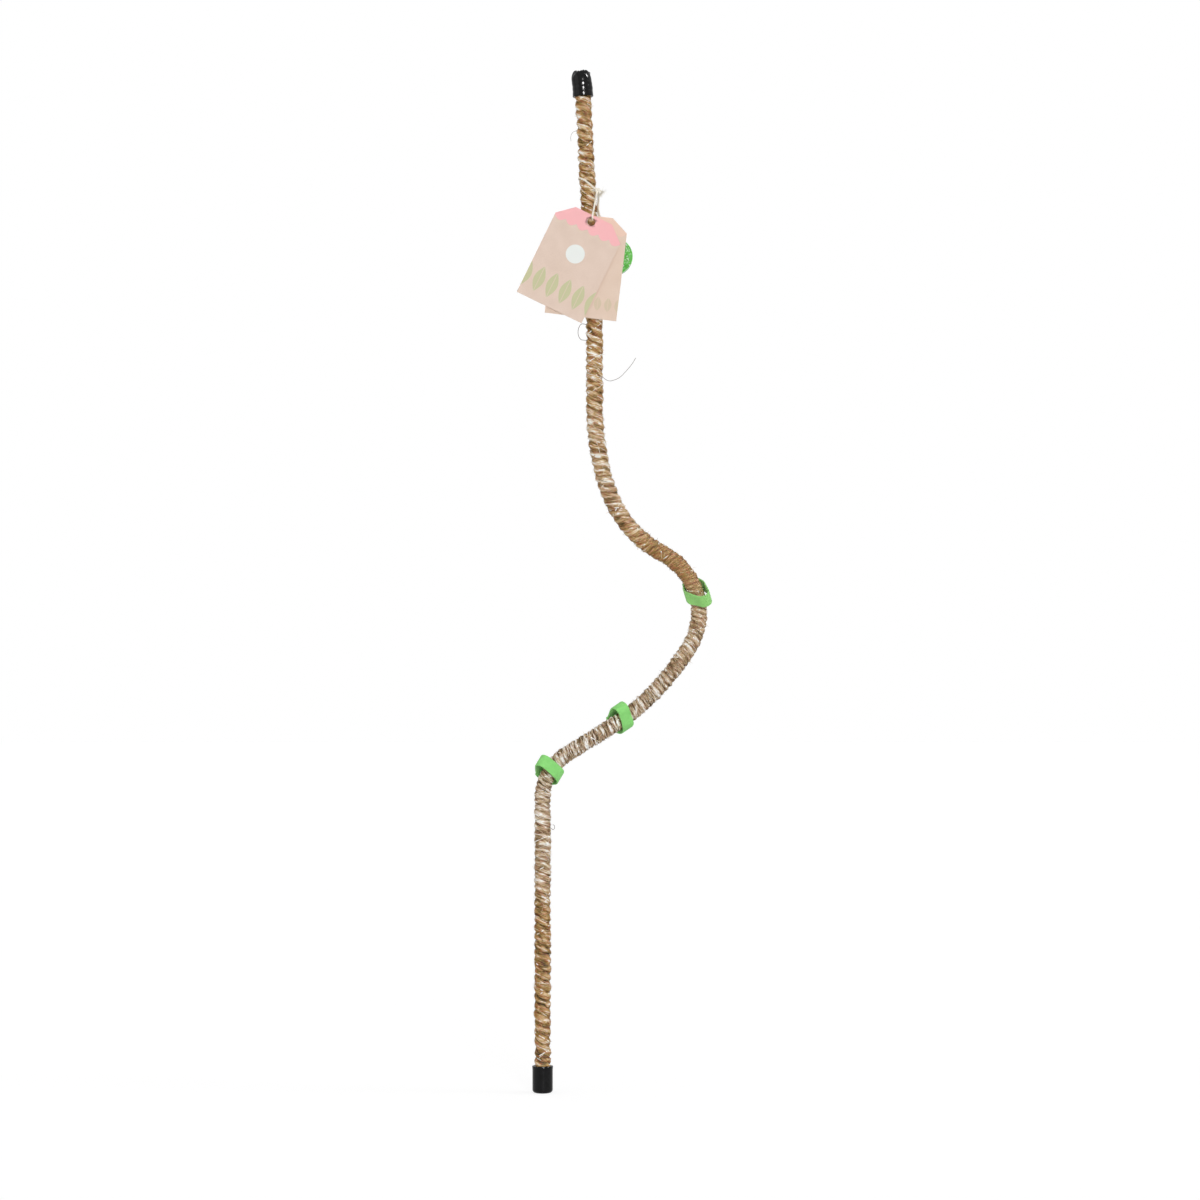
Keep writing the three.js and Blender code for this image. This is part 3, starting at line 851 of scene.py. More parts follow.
# How the coir changes from the foot up: the distance, how much paler it is, how even, the pitch of its
# bands, and how much fuller it is
COIR_CHANGES = np.array([
    (0, -0.05, 0.0, BAND_PITCH, 0.0),
    (60, -0.05, 0.0, BAND_PITCH, 0.15),
    (170, -0.05, 0.0, BAND_PITCH, 0.15),
    (205, 0.05, -0.1, 6.5, 0.15),
    (270, 0.05, -0.2, 6.0, 0.1),
    (304, 0.09, -0.4, 4.4, 0.0),
    (388, 0.09, -0.4, 4.4, 0.0),
    (425, 0.01, -0.1, 5.2, 0.1),
    (500, 0.05, 0.2, 5.2, 0.1),
    (528, 0.02, 0.3, 4.8, 0.0),
    (546, -0.12, 0.6, 4.8, 0.1),
    (565, -0.14, 0.7, 4.8, 0.3),
    (605, -0.03, 0.3, 6.4, 0.35),
    (640, 0.08, 0.0, BAND_PITCH, 0.4),
    (820, 0.03, 0.0, BAND_PITCH, 0.4),
    (865, 0.03, 0.0, BAND_PITCH, 0.0),
    (920, 0.02, 0.0, BAND_PITCH, 0.0),
    (1000, 0.02, 0.0, BAND_PITCH, 0.2),
    (1030, 0.05, 0.0, BAND_PITCH, 0.1),
    (POLE_LENGTH, 0.05, 0.0, BAND_PITCH, 0.0),
]).T
# Stretches of the pole that a tie or the roll passes closely: the middle and how far each reaches from it
PRESSED = [(distance_of(joint_point(f"{tie}_turn")), 15) for tie in TIES]
PRESSED.append((distance_of(ROLL_PIVOT) - 4, 26))
COIR_STEPS = np.arange(0, POLE_LENGTH + 1)
BANDS_PASSED = np.cumsum(1 / np.interp(COIR_STEPS, COIR_CHANGES[0], COIR_CHANGES[3]))


def coir_change(distance):
    """How much paler the coir is at these distances, how lively, its bands' pitch, and how much fuller."""
    places, *columns = COIR_CHANGES
    paler, even, pitch, fuller = (np.interp(distance, places, column) for column in columns)
    return paler, 1 - even, pitch, fuller


def fibre_room(distance):
    """The radius that fibres keep within: less where a tie turns on the pole or the roll swings past it."""
    room = np.full(np.shape(distance), LOOSE_ROOM)
    for middle, reach in PRESSED:
        room = np.where(np.abs(distance - middle) < reach, PRESSED_ROOM, room)
    return room


def skin_at(distance, angle):
    """The winding's radius at places on the pole, and its tint."""
    ring = stacked(np.cos(angle), np.sin(angle), distance / 13)
    around = BAND_STARTS * angle / math.tau
    slow = value_noise(stacked(distance / 37, 0, 0), 2)
    wander = RING_WANDER * value_noise(ring * 1.1 + 5, 3) + SLOW_WANDER * slow
    turn = np.interp(distance, COIR_STEPS, BANDS_PASSED) + around + wander
    number = np.round(turn)
    across = turn - number
    strip = BAND_PITCH * (number - around)
    lane = number % BAND_STARTS
    dome = 1 - np.abs(2 * across) ** 1.9
    swell, edge, tone, tuft, fine, cream_and_glint = (
        value_noise(stacked(strip / long, across / wide, lane * LANE_SHIFT), seed)
        for long, wide, seed in LUMPS.values()
    )
    # Painted highlights with pale fibres: cream-white patches only on the band crests
    cream_and_glint = smoothstep(cream_and_glint, 0.25, 0.6) * dome
    paler, lively, pitch, fuller = coir_change(distance)
    depth = GROOVE_DEPTH * pitch / BAND_PITCH * (1 + EDGE_UNEVEN * edge) * (0.5 + 0.5 * lively)
    bulge = fuller + SWELL_HEIGHT * swell + (TUFT_HEIGHT * tuft + FINE_HEIGHT * fine) * (0.3 + 0.7 * dome)
    radius = np.minimum(CROWN_RADIUS - depth * (1 - dome) + bulge, fibre_room(distance))
    tint = TONE_TINT * tone + TUFT_TINT * tuft + FINE_TINT * fine + CREAM_AND_GLINT_TINT * cream_and_glint
    # The grooves between bands are darkened by painted shade
    return radius, MEAN_TINT + paler + (tint - GROOVE_PAINTED_SHADE * (1 - dome)) * lively


def band_piece(name, low, high):
    rows = max(2, round((high - low) / SKIN_STEP)) + 1
    distance = np.linspace(low, high, rows)[:, None]
    angle = even_angles(SKIN_SIDES)
    radius, tint = skin_at(distance, angle)
    points = round_pole(distance, radius, angle)
    return Shape().add(points, turned_over(tube_faces(rows, SKIN_SIDES)), tint).make(name, COIR_BASE)


# Sections of fibres, across and outwards: flat ones lie on the winding, and round ones stand off it
FLAT_FIBRE = np.array([(-1.0, -0.35), (0.0, 0.45), (1.0, -0.35)])
ROUND_FIBRE = np.array([(-1.0, 0.0), (0.5, 0.87), (0.5, -0.87)])


def strand_faces(count, steps, sides, closed):
    """Faces of many fibres that have as many rings: open underneath and at their ends, or closed."""
    parts = tube_faces(steps, sides)
    if not closed:
        parts = [parts[0].reshape(-1, sides, 4)[:, :-1].reshape(-1, 4)]
    start = (np.arange(count) * steps * sides)[:, None, None]
    return [(f[None] + start).reshape(-1, f.shape[1]) for f in parts]


def cell_places(first, count, total, steps, sides):
    """A small patch of the map for each of many fibres, from the first one's number on."""
    grid = math.ceil(math.sqrt(total))
    i = first + np.arange(count)
    corner = stacked(i % grid, i // grid)[:, None, None]
    patch = stacked(np.linspace(0.12, 0.88, steps)[:, None], np.linspace(0.2, 0.8, sides))
    return (corner + patch) / grid


def add_strands(shape, fibres, section, first, total):
    """Many fibres at once: lines and outward ways are (n, steps, 3), radius and tint (n, steps)."""
    lines, outward, radius, tint = fibres
    count, steps, _ = lines.shape
    tangent = unit(np.gradient(lines, axis=1))
    side = unit(np.cross(tangent, outward))
    up = np.cross(side, tangent)
    ring = side[:, :, None] * section[:, :1] + up[:, :, None] * section[:, 1:]
    points = lines[:, :, None] + ring * radius[:, :, None, None]
    sides = len(section)
    faces = strand_faces(count, steps, sides, section is ROUND_FIBRE)
    shape.add(points, faces, np.repeat(tint, sides, axis=1), cell_places(first, count, total, steps, sides))


def laid(distance, radius, angle):
    """Lines beside the pole within the fibres' room, and their ways out."""
    lines = round_pole(distance, np.minimum(radius, fibre_room(distance)), angle)
    return lines, unit(lines - pole_at(distance)[0])


def lying_fibres(draw, low, high):
    """Fibres that lie along the band, dip into its grooves and lift a little at their ends."""
    each = (round((high - low) * FIBRES_PER_MM), 1)
    start = draw.uniform(low, high, each)
    turn = draw.uniform(0, math.tau, each)
    astray = draw.random(each) < STRAY_SHARE
    long = np.where(astray, draw.uniform(*STRAY_LENGTHS, each), draw.uniform(*FIBRE_LENGTHS, each))
    _, lively, pitch, _ = coir_change(start)
    slant = np.arctan(BAND_STARTS * pitch / (math.tau * CROWN_RADIUS))
    slant = slant + draw.normal(size=each) * np.where(astray, STRAY_SLANT, FIBRE_SLANT)
    u = np.linspace(-0.5, 0.5, FIBRE_STEPS)[None]
    sway = FIBRE_SWAY * np.sin(draw.uniform(0, math.tau, each) + u * long / 4.5)
    angle = turn + u * long * np.cos(slant) / CROWN_RADIUS
    distance = start - u * long * np.sin(slant) + sway
    distance = np.clip(distance, max(low - FIBRE_OVERRUN, SKIN_LOW), min(high + FIBRE_OVERRUN, SKIN_HIGH))
    radius, under = skin_at(distance, angle % math.tau)
    loose = draw.exponential(LOOSE_END, each)
    lift = draw.uniform(*FIBRE_LIFTS, each) + loose * (2 * np.abs(u)) ** 6
    in_cap = np.minimum(distance - SKIN_LOW, SKIN_HIGH - distance)
    lift = lift * smoothstep(in_cap, SKIN_IN_CAP, SKIN_IN_CAP + LIFT_REACH)
    lines, outward = laid(distance, radius + lift, angle)
    thick = draw.uniform(*FIBRE_RADII, each) * (1 - 0.75 * (2 * np.abs(u)) ** 4)
    own = draw.normal(size=each) * np.where(astray, STRAY_TINT, FIBRE_TINT)
    # Some fibres paler, partly as pale straw and partly as painted highlights
    pale = np.where(draw.random(each) < PALE_GLINT_SHARE, PALE_GLINT_TINT, 0.0)
    under = np.where(astray, under.mean(axis=1, keepdims=True), under)
    return lines, outward, thick, under + (own + pale) * lively + FIBRES_PALER


def standing_hairs(draw, low, high):
    """Short hairs that stand off the winding."""
    each = (round((high - low) * HAIRS_PER_MM), 1)
    low, high = max(low, CAP_LENGTH + 1), min(high, POLE_LENGTH - CAP_LENGTH - 1)
    start = draw.uniform(low, high, each)
    turn = draw.uniform(0, math.tau, each)
    long = draw.uniform(*HAIR_LENGTHS, each)
    u = np.linspace(0, 1, FIBRE_STEPS)[None]
    rise = draw.uniform(*HAIR_RISES, each)
    angle = turn + u * long / CROWN_RADIUS * draw.choice([-1, 1], each)
    distance = start + u * long * draw.normal(size=each) * 0.3
    radius = skin_at(distance, angle % math.tau)[0].mean(axis=1, keepdims=True)
    lines, outward = laid(distance, radius + long * rise * u**1.5, angle)
    thick = HAIR_RADIUS * (1 - 0.6 * u) * np.ones(each)
    return lines, outward, thick, draw.uniform(*HAIR_TINTS, each) + 0 * u


# Long loose hairs, at the front of the pole: radius, then points across and up
LONG_HAIRS = [
    (0.18, [(34, 909), (30, 908.5), (27.5, 906.5), (26.3, 903), (26.6, 899)]),
    (0.3, [(42, 725), (36.4, 725.7), (33.6, 720.8), (33.5, 715.4), (35.8, 711), (42, 710)]),
    (0.26, [
        (53, 679), (57.5, 674.4), (62.4, 671.6), (67, 672.3),
        (72.5, 674.8), (77.5, 679.5), (84.8, 688.2), (88, 693.6),
    ]),
    (0.3, [(5, 250), (8, 249), (10, 247.6), (11.2, 249), (11.2, 251.6), (9.4, 252.6)]),
]
LONG_HAIR_STEP = 0.8
LONG_HAIR_DEPTH = -2.0
LONG_HAIR_TINT = 0.05


def long_hairs(low, high):
    """Those hairs that start on a stretch of the pole, as lines, ways out, radius and tint."""
    flat = np.ones((1, FIBRE_STEPS))
    for radius, points in LONG_HAIRS:
        line = smooth_line([(x, LONG_HAIR_DEPTH, z) for x, z in points], LONG_HAIR_STEP)
        if low <= distance_of(line[0]) < high:
            last = len(line) - 1
            line = points_at(line, np.arange(last + 1), np.linspace(0, last, FIBRE_STEPS))
            out = np.broadcast_to(-DEPTH, line.shape)
            yield line[None], out[None], flat * radius, flat * LONG_HAIR_TINT


def fibre_piece(name, low, high, seed):
    draw = np.random.default_rng(seed)
    lying = lying_fibres(draw, low, high)
    loose = [standing_hairs(draw, low, high), *long_hairs(low, high)]
    loose = [np.concatenate(column) for column in zip(*loose)]
    total = len(lying[0]) + len(loose[0])
    shape = Shape()
    add_strands(shape, lying, FLAT_FIBRE, 0, total)
    add_strands(shape, loose, ROUND_FIBRE, len(lying[0]), total)
    return shape.make(name, COIR_FIBRE, mapped=True)


def thread_piece(name, low, high):
    """Clear thread wound over the coir, which dips under its fibres for the most part."""
    low, high = max(low, CAP_LENGTH - 2), min(high, POLE_LENGTH - CAP_LENGTH + 2)
    distance = np.linspace(low, high, round((high - low) / THREAD_STEP))
    shape = Shape()
    for pitch, start in THREADS:
        angle = start + math.tau * distance / pitch
        place = stacked(distance / 9, 0, pitch)
        angle = angle + THREAD_WANDER * value_noise(place, 31)
        under = smoothstep(value_noise(place * [6, 1, 1], 32), -0.45, -0.1)
        around = angle[:, None] + np.linspace(-0.35, 0.35, 9)
        radius = skin_at(distance[:, None], around % math.tau)[0].mean(axis=1)
        line = round_pole(distance, radius + THREAD_LIFT - THREAD_DIP * under, angle)
        shape.tube(line, THREAD_RADIUS, THREAD_SIDES)
    return shape.make(name, THREAD)


def add_winding():
    """A stretch of winding for each hinge, from the middle of one section to the middle of the next."""
    ends = [0, *HINGES, POLE_LENGTH]
    middles = [(a + b) / 2 for a, b in zip(ends, ends[1:])]
    cuts = [SKIN_LOW, *middles[1:-1], SKIN_HIGH]
    for number, (hinge, low, high) in enumerate(zip(HINGES, cuts, cuts[1:]), 1):
        band = band_piece(f"coir_band_{number}", low, high)
        fibres = fibre_piece(f"coir_fibres_{number}", low, high, 100 + number)
        thread = thread_piece(f"binding_thread_{number}", low, high)
        point, heading = pole_at(hinge)
        reach = ways_at(heading)[0] * BEND_REACH
        for piece in (band, fibres, thread):
            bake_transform(piece)
        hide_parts(f"coir_wrap_{number}")
    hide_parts(f"coir_wrap_{len(HINGES) + 1}")


add_winding()


# Caps

CAP_SIDES = 96
CAP_BORE = POLE_RADIUS + SLIP_GAP
CAP_OUTSIDE = CAP_BORE / math.cos(math.pi / 16) + CAP_WALL
CAP_LIP = 4  # of the cap's length that widens to its rim
CAP_BORE_ROWS = 4  # of the profile that lie in its mouth and bore
CAP_WAVE = 4.65  # between the swells that the winding gives the cap
CAP_CREST = 17.4  # from the cap's end to one of those swells
CAP_SWELL = 0.12
CAP_BAND = 0.1
CAP_LOBE = 0.5
CAP_TAPER = 2.0
CAP_FOLDS = 7
FOLD_DOWN = 1.1
FOLD_IN = 0.7
DIMPLE_DEPTH = 1.2
CREASE_DEPTH = 1.3
VINYL = vinyl_look()


def cap_profile(end_round, end_drop):
    """Radius and distance from the end, from the middle of the end down the outside and up the bore."""
    flat = CAP_OUTSIDE - end_round
    lip = CAP_LENGTH - CAP_LIP
    rows = [(r, 0.0) for r in np.linspace(0, flat, 12, endpoint=False)]
    for q in np.linspace(0, np.pi / 2, 16):
        rows.append((flat + end_round * math.sin(q), end_drop * (1 - math.cos(q))))
    rows += [(CAP_OUTSIDE, z) for z in np.linspace(end_drop, lip, 36)[1:]]
    rows += [(CAP_OUTSIDE + CAP_RIM * s, lip + 3.4 * s) for s in np.linspace(0, 1, 6)[1:]]
    rows += [(CAP_OUTSIDE + CAP_RIM - 0.4, CAP_LENGTH), (CAP_BORE + 0.3, CAP_LENGTH)]
    rows += [(CAP_BORE, CAP_LENGTH - 0.5), (CAP_BORE, CAP_END), (0.0, CAP_END)]
    return np.array(rows)


def hump(x, width):
    """1 where x is 0, falling to nothing on both sides."""
    return np.exp(-((x / width) ** 2))


def weld(piece):
    """Joins points that lie in one place, as at the middle of a lathed end."""
    mesh = bmesh.new()
    mesh.from_mesh(piece.data)
    bmesh.ops.remove_doubles(mesh, verts=mesh.verts, dist=1e-6)
    bmesh.ops.recalc_face_normals(mesh, faces=mesh.faces)
    mesh.to_mesh(piece.data)
    mesh.free()


def cap_piece(name, distance, way, end, pucker, seed):
    """A dipped cap whose end is drawn in by folds; way is 1 where its end points up the pole."""
    profile = cap_profile(*end)
    radius, down = profile.T[:, :, None]
    a = even_angles(CAP_SIDES)
    outside = np.arange(len(profile))[:, None] < len(profile) - CAP_BORE_ROWS
    ring = stacked(np.cos(a) * 1.3, np.sin(a) * 1.3, down / 9)
    swell = value_noise(ring * [1, 1, 1.6], seed + 1) * smoothstep(down, 0, 4)
    wave = np.pi * (down - CAP_CREST) / CAP_WAVE + 0.15 * np.cos(a)
    press = smoothstep(down, 10, 13) * (1 - smoothstep(down, CAP_LENGTH - 3, CAP_LENGTH - 1))
    band = (2 * np.abs(np.cos(wave)) - 1) * press
    lobe = hump(a - np.pi, 0.8) * hump(down - 7.5, 5)
    crease = hump(radius * np.cos(a) + 2.6, 1.1) * (1 - smoothstep(down, 1, 6))
    taper = np.clip(1 - down / 24, 0, 1) ** 2 * (1 - hump(a - np.pi, 0.9))
    uneven = CAP_SWELL * swell + CAP_BAND * band + CAP_LOBE * lobe - CAP_TAPER * taper
    fold = np.cos(CAP_FOLDS * a + 2.5 * value_noise(ring, seed))
    near_end = 1 - smoothstep(down, 0.5, 9)
    radius = radius + outside * uneven * min(1, 2 * pucker)
    share = radius / CAP_OUTSIDE
    drawn = pucker * near_end * outside * smoothstep(share, 0.1, 0.75)
    dimple = pucker * outside * (DIMPLE_DEPTH * hump(share, 0.3) + CREASE_DEPTH * crease)
    down = down + drawn * (0.45 + 0.55 * fold) * FOLD_DOWN + dimple
    radius = radius - drawn * (0.5 + 0.5 * fold) * FOLD_IN
    faces = [ring_faces(len(profile), CAP_SIDES)]
    points = round_pole(distance, radius, a, -way * down)
    piece = Shape().add(points, faces if way > 0 else turned_over(faces)).make(name, VINYL)
    weld(piece)
    return piece


top_cap = cap_piece("glossy_top_cap", POLE_LENGTH, way=1, end=(4.0, 8.0), pucker=1.0, seed=41)
seat(top_cap, "pole_section_8", "black_vinyl", "top_cap")
foot_cap = cap_piece("glossy_foot_cap", 0, way=-1, end=(3.2, 3.2), pucker=0.0, seed=47)
seat(foot_cap, "pole_section_1", "black_vinyl", "foot_cap")


# Tags

TAG_GRID = 2.5  # between points of the card
TAG_HALF = TAG_WIDTH / 2
HOLE_TO_TWINE = TAG_HOLE_RADIUS - TWINE_RADIUS - SLIP_GAP
HOLE_SIDES = 40
TAG_TOP = TAG_HOLE_DOWN - HOLE_TO_TWINE
TAG_BOTTOM = TAG_TOP - TAG_HEIGHT
REAR_TAG_BACK = -(POLE_RADIUS + 2 * SLIP_GAP + 2 * TWINE_RADIUS)
FRONT_TAG_BACK = REAR_TAG_BACK - TAG_THICKNESS - SLIP_GAP
FRONT_TAG_CURL = 0.6
REAR_TAG_CURL = 0.15
TAG_MAP = 100  # millimetres across the design's map
SCALLOP_DEPTH = 3.5
SCALLOP_SPACING = 11.33
LEAF_FOOT = -86
LEAF_VEIN = 0.22


def clip_at(x):
    """How far a clipped corner comes down at places across the card."""
    return np.maximum(0, TAG_CLIP_DOWN - (TAG_HALF - np.abs(x)) * TAG_CLIP_DOWN / TAG_CLIP_ACROSS)


def card_rim():
    """Points along the card's outline, its corners among them."""
    shoulder = (TAG_HALF, TAG_TOP - TAG_CLIP_DOWN)
    right = [(TAG_HALF, TAG_BOTTOM), shoulder, (TAG_HALF - TAG_CLIP_ACROSS, TAG_TOP)]
    left = [(-x, z) for x, z in right[::-1]]
    corners = [left[-1], *right, *left[:-1]]
    points = []
    for a, b in zip(corners, corners[1:] + corners[:1]):
        count = max(1, round(math.dist(a, b) / TAG_GRID))
        for k in range(count):
            points.append([p + (q - p) * k / count for p, q in zip(a, b)])
    return points


def ring_edges(start, count):
    """Pairs of points next to each other on a ring."""
    return [(start + i, start + (i + 1) % count) for i in range(count)]


def card_triangles():
    """A flat card with its hole, as points and triangles, and the edges of its rim and its hole."""
    rim = card_rim()
    turn = even_angles(HOLE_SIDES)
    hole = TAG_HOLE_RADIUS * stacked(np.cos(turn), np.sin(turn)) - [0, HOLE_TO_TWINE]
    columns = np.arange(-TAG_HALF + TAG_GRID, TAG_HALF - 0.5, TAG_GRID)
    rows = np.arange(TAG_BOTTOM + TAG_GRID, TAG_TOP - 0.5, TAG_GRID)
    x, z = np.meshgrid(columns, rows, indexing="ij")
    clear = np.hypot(x, z + HOLE_TO_TWINE) > TAG_HOLE_RADIUS + 1
    kept = clear & (z < TAG_TOP - clip_at(x) - 1)
    inner = stacked(x[kept], z[kept])
    edges = [ring_edges(0, len(rim)), ring_edges(len(rim), HOLE_SIDES)]
    flat = [Vector(p) for p in (*rim, *hole, *inner)]
    places, _, faces, *_ = geometry.delaunay_2d_cdt(flat, edges[0] + edges[1], [], 0, 1e-5)
    places = np.array([tuple(p) for p in places])
    faces = np.array(faces)
    x, z = places[faces].mean(axis=1).T
    off_hole = np.hypot(x, z + HOLE_TO_TWINE) > TAG_HOLE_RADIUS * 0.99
    return places, faces[off_hole & (z < TAG_TOP - clip_at(x))], edges


def tag_piece(name, angle, back, curl, material):
    """A card that hangs by its hole, turned by an angle, with a little curl towards the front."""
    places, faces, edges = card_triangles()
    x, z = places.T
    down = (TAG_TOP - z) / TAG_HEIGHT
    bend = -curl * (down**2 * 0.7 + (x / TAG_WIDTH * 2) ** 2 * 0.3 * down)
    sine, cosine = math.sin(math.radians(angle)), math.cos(math.radians(angle))
    turned = stacked(x * cosine + z * sine, back + bend, z * cosine - x * sine)
    turned += [TAG_PIVOT[0], 0, TAG_PIVOT[2]]
    front = turned - DEPTH * TAG_THICKNESS
    count = len(places)
    walls = []
    for ring in edges:
        i, j = np.array(ring).T
        walls.append(stacked(i, j, j + count, i + count))
    sides = [faces[:, ::-1], faces + count, *walls]
    piece = Shape().add(np.vstack([turned, front]), sides).make(name, material)
    set_map(piece.data, "card_plane", np.vstack([places, places]) / TAG_MAP + 0.5)
    weld(piece)
    piece.data.set_sharp_from_angle(angle=math.radians(40))
    return piece


class Card(Look):
    """Kraft card, with calls that draw plain figures on it."""

    def __init__(self, name, low, high):
        super().__init__(name, specular=0.2)
        plane = self.node("UVMap", {"uv_map": "card_plane"}).outputs[0]
        centred = self.vector("SUBTRACT", i0=plane, i1=(0.5, 0.5, 0)).outputs[0]
        self.plane = self.vector("SCALE", i0=centred, i3=TAG_MAP).outputs[0]
        self.x, self.z, _ = self.node("SeparateXYZ", i0=self.plane).outputs
        fibre = self.noise(0.4, 5, 0.6)
        self.colour = self.ramp(self.sum(self.noise(14, 2), fibre, 0.3), [(0.35, low), (0.65, high)])
        self.vary(fibre, 0.75, 0.95)
        self.bump(fibre, 0.04, 0.5)

    def vector(self, operation, **inputs):
        return self.node("VectorMath", {"operation": operation}, **inputs)

    def disc(self, x, z, radius):
        spot = self.vector("DISTANCE", i0=self.plane, i1=(x, z, 0))
        return self.math("LESS_THAN", spot.outputs["Value"], radius)

    def leaves(self, height, width, spacing):
        """A row of plain leaves that stand side by side."""
        shifted = self.math("ADD", self.x, 10 * spacing)
        across = self.math("SUBTRACT", self.math("MODULO", shifted, spacing), spacing / 2)
        aside = self.math("ABSOLUTE", across)
        up = self.math("DIVIDE", self.math("SUBTRACT", self.z, LEAF_FOOT), height)
        arch = self.math("SINE", self.math("MULTIPLY", up, math.pi))
        inside = self.math("LESS_THAN", aside, self.math("MULTIPLY", arch, width / 2))
        vein = self.math("GREATER_THAN", aside, LEAF_VEIN)
        in_row = self.math("LESS_THAN", self.math("ABSOLUTE", self.math("SUBTRACT", up, 0.5)), 0.5)
        return self.math("MULTIPLY", self.math("MULTIPLY", inside, vein), in_row)

    def scallops(self, edge):
        """The part above a row of hanging arcs."""
        turn = self.math("MULTIPLY", self.x, math.pi / SCALLOP_SPACING)
        wave = self.math("ABSOLUTE", self.math("SINE", turn))
        return self.math("GREATER_THAN", self.z, self.math("MULTIPLY_ADD", wave, -SCALLOP_DEPTH, edge))

    def paint(self, share, code, strength=1.0):
        self.colour = self.mix(self.math("MULTIPLY", share, strength), self.colour, code)

    def done(self):
        self.feed("Base Color", self.colour)
        return self.material


def front_card():
    card = Card("kraft_card_front", 0xDBC3B2, 0xE8D2C3)
    card.paint(card.scallops(-11), 0xFABABC)
    card.paint(card.leaves(26, 10.5, 13.6), 0xC9C79E)
    card.paint(card.disc(0, -37, 9), 0xECEFEB)
    return card.done()


def rear_card():
    card = Card("kraft_card_rear", 0xDEC4B0, 0xE8D1BF)
    card.paint(card.scallops(-10), 0xF0CDB9, 0.8)
    card.paint(card.leaves(14, 7, 9.7), 0xD2C2A2, 0.7)
    return card.done()


front_tag = tag_piece("front_tag_card", FRONT_TAG_ANGLE, FRONT_TAG_BACK, FRONT_TAG_CURL, front_card())
seat(front_tag, "front_tag_card", "kraft_card", "front_tag")
rear_tag = tag_piece("rear_tag_card", REAR_TAG_ANGLE, REAR_TAG_BACK, REAR_TAG_CURL, rear_card())
seat(rear_tag, "rear_tag_card", "kraft_card", "rear_tag")


# Tape roll and ties: strips with rounded edges

STRIP_EDGE = 5  # points round each edge of a strip
STRIP_STEP = 0.55  # between points across a strip, and along a strap
STRIP_PILE = 0.02  # unevenness of its faces
ROLL_DEPTH = POLE_RADIUS + SLIP_GAP + TAPE_WIDTH / 2
ROLL_MIDDLE = ROLL_PIVOT[2] - (CORE_BORE - TWINE_RADIUS - SLIP_GAP - LAYER_GAP)
TAPE_START = CORE_BORE + CORE_WALL + SLIP_GAP
TAPE_FREE_END = math.radians(205)  # where it lies on the roll
TAPE_LIFT = 0.5  # of the free end
TAPE_STEPS = 72  # in a turn
STRAP_STEPS = 900
ROLL_GREEN = roll_look()
TIE_GREEN = tie_look("tie_green", 0x82D46E, 0x92E07E)
# Painted light: a paler, duller copy of the tie green for the high tie, which takes other light
HIGH_TIE_PAINTED_LIGHT = tie_look("tie_green_painted_light", 0x8ED072, 0x9EDE80)


def strip_section(width, edge):
    """Points round a strip's section, as shares of its thickness outwards and places along its width."""
    half = width / 2 - edge
    flat = np.linspace(-half, half, round(width / STRIP_STEP))
    turn = np.linspace(-np.pi / 2, np.pi / 2, STRIP_EDGE)[1:-1]
    outer = [(0.5, w) for w in flat]
    right = [(0.5 * -math.sin(t), half + edge * math.cos(t)) for t in turn]
    other_half = [(-share, -w) for share, w in outer + right]
    return np.array(outer + right + other_half)


def strip_shape(middle, outward, aside, thick, width, edge, seed):
    """A strip along a line. outward and aside are its ways through its thickness and its width."""
    share, w = strip_section(width, edge).T
    outward = outward[:, None]
    points = middle[:, None] + outward * (share * thick)[:, None] + aside[:, None] * w[:, None]
    along = run_along(gaps_between(middle))[:, None]
    rough = value_noise(stacked(along * 1.6, w * 1.6, share * 9), seed)
    points = points + outward * np.sign(share)[None, :, None] * (rough * STRIP_PILE)[..., None]
    return Shape().add(points, turned_over(tube_faces(len(middle), len(share))))


def roll_piece():
    """Tape wound on the core, its free end a little lifted."""
    end = math.tau * TAPE_TURNS
    angle = np.linspace(0, end, round(TAPE_TURNS * TAPE_STEPS))
    thick = TAPE_LAYER * 0.96
    peel = TAPE_LIFT * smoothstep(angle, end - 0.4, end) ** 2
    radius = TAPE_START + thick / 2 + TAPE_LAYER * angle / math.tau + peel
    turned = angle + TAPE_FREE_END - end
    outward = stacked(np.cos(turned), 0, np.sin(turned))
    slip = DEPTH * 0.18 * np.sin(turned * 0.37)[:, None]
    middle = np.array([ROLL_PIVOT[0], ROLL_DEPTH, ROLL_MIDDLE]) + outward * radius[:, None] + slip
    aside = np.broadcast_to(DEPTH, middle.shape)
    shape = strip_shape(middle, outward, aside, thick, width=TAPE_WIDTH - 0.4, edge=0.2, seed=61)
    piece = shape.make("green_tape", ROLL_GREEN)
    piece.data.set_sharp_from_angle(angle=math.radians(35))
    return piece


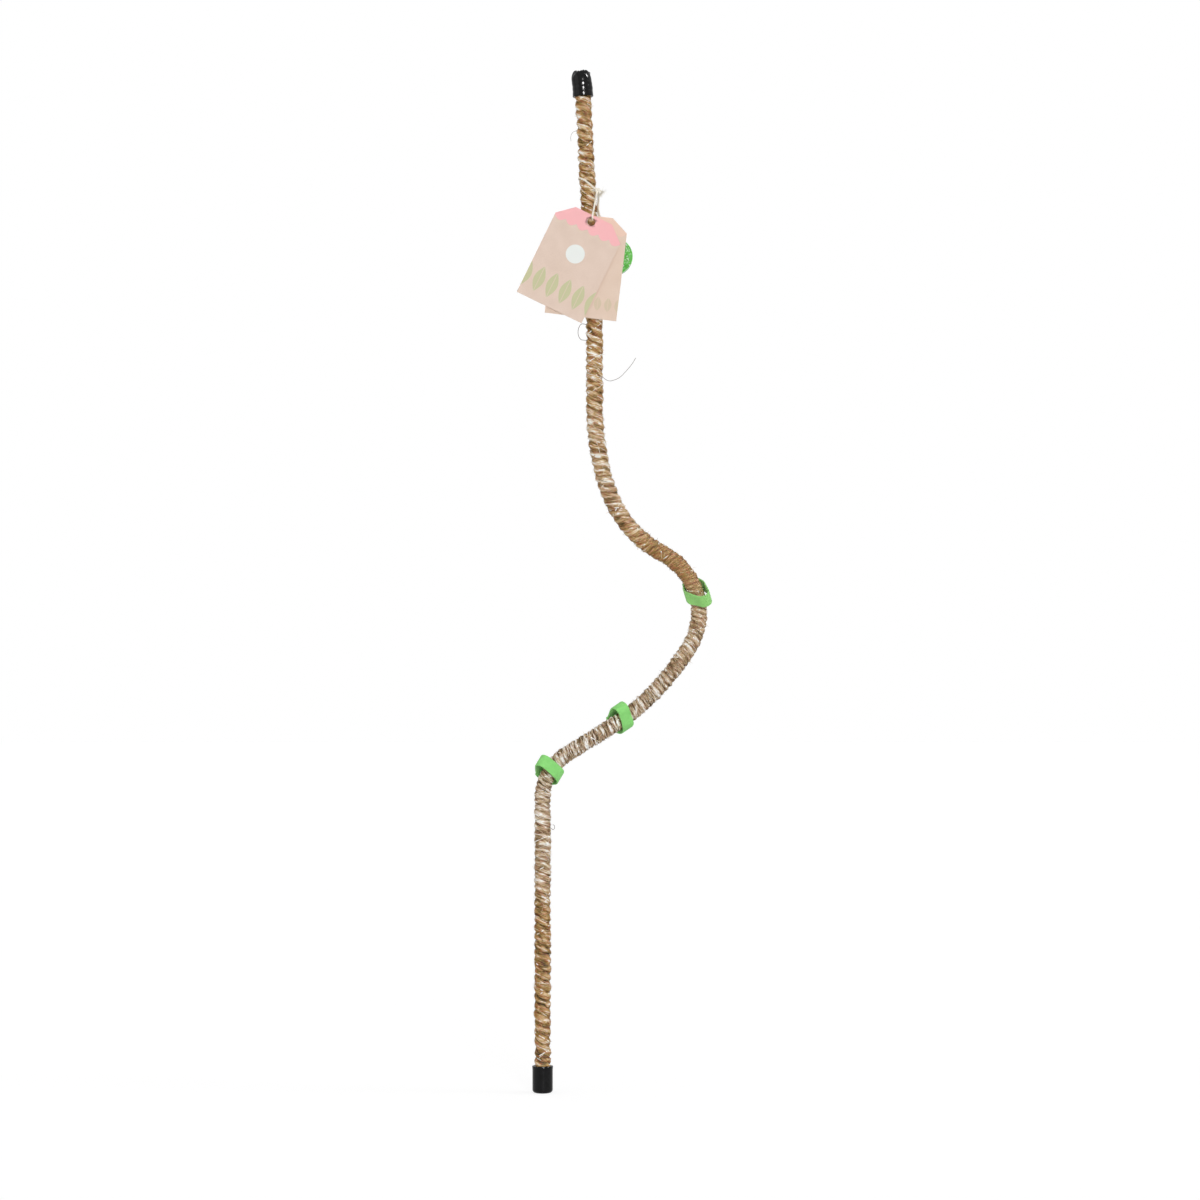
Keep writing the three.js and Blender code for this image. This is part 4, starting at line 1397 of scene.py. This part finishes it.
def strap_line(stem_across, slack):
    """A strap's middle line round the pole and the stem's room, from the back, and its ways out."""
    turn = np.linspace(0, 1 + STRAP_OVERLAP, STRAP_STEPS)
    angle = np.pi / 2 + math.tau * turn
    out = stacked(np.cos(angle), np.sin(angle))
    stem = np.array([stem_across, -math.sqrt((POLE_RADIUS + STEM_RADIUS) ** 2 - stem_across**2)])
    pole_room = POLE_RADIUS + TURN_GAP + slack
    stem_room = STEM_RADIUS + TURN_GAP
    at_stem = out @ stem + stem_room > pole_room
    lap = smoothstep(turn, LAP_START - STRAP_OVERLAP, LAP_START) * (STRAP_THICKNESS + LAYER_GAP)
    radius = np.where(at_stem, stem_room, pole_room) + lap + STRAP_THICKNESS / 2
    line = np.where(at_stem[:, None], stem, 0.0) + out * radius[:, None]
    along = run_along(gaps_between(line))
    line = points_at(line, along, np.linspace(0, along[-1], round(along[-1] / STRIP_STEP)))
    way = unit(np.gradient(line, axis=0))
    return line, stacked(way[:, 1], -way[:, 0])


def tie_piece(name, stem_across, slack, fall, seed):
    """A strap once round the pole and a stem's room, tilted at the front, its end lapped over its start."""
    along = np.array(joints[f"{name}_turn"]["axis"])
    across = np.cross(DEPTH, along)
    line, out = strap_line(stem_across, slack)
    x, y = line.T[:, :, None]
    steep = math.radians(fall)
    lean = steep * (1 - smoothstep(y, -TILTED_FROM, -TILTED_TO))
    rise = math.tan(steep) * (y - (y.min() + y.max()) / 2)
    middle = joint_point(f"{name}_turn") + across * x + DEPTH * y + along * rise
    outward = across * out[:, :1] + (DEPTH * np.cos(lean) + along * np.sin(lean)) * out[:, 1:]
    aside = along * np.cos(lean) - DEPTH * np.sin(lean)
    thick = STRAP_THICKNESS * 0.9
    shape = strip_shape(middle, outward, aside, thick, STRAP_WIDTH, thick / 2, seed)
    # The high tie takes the copy with painted light
    return shape.make(f"green_{name}", HIGH_TIE_PAINTED_LIGHT if name == "high_tie" else TIE_GREEN)


seat(roll_piece(), "tape_roll", "roll_green", "roll_tape")
for number, (tie, form) in enumerate(TIES.items()):
    seat(tie_piece(tie, *form, 70 + number), f"{tie}_loop", "tie_green", tie)


# Finish of the nodes that stay as they are


def dress(name, material):
    slots = frame["nodes"][name].data.materials
    slots.clear()
    slots.append(material)


steel = steel_look()
sleeve = sleeve_look()
for number in range(1, len(HINGES) + 2):
    dress(f"core_wire_{number}", steel)
    dress(f"core_sleeve_{number}", sleeve)
dress("roll_core", paper_look())
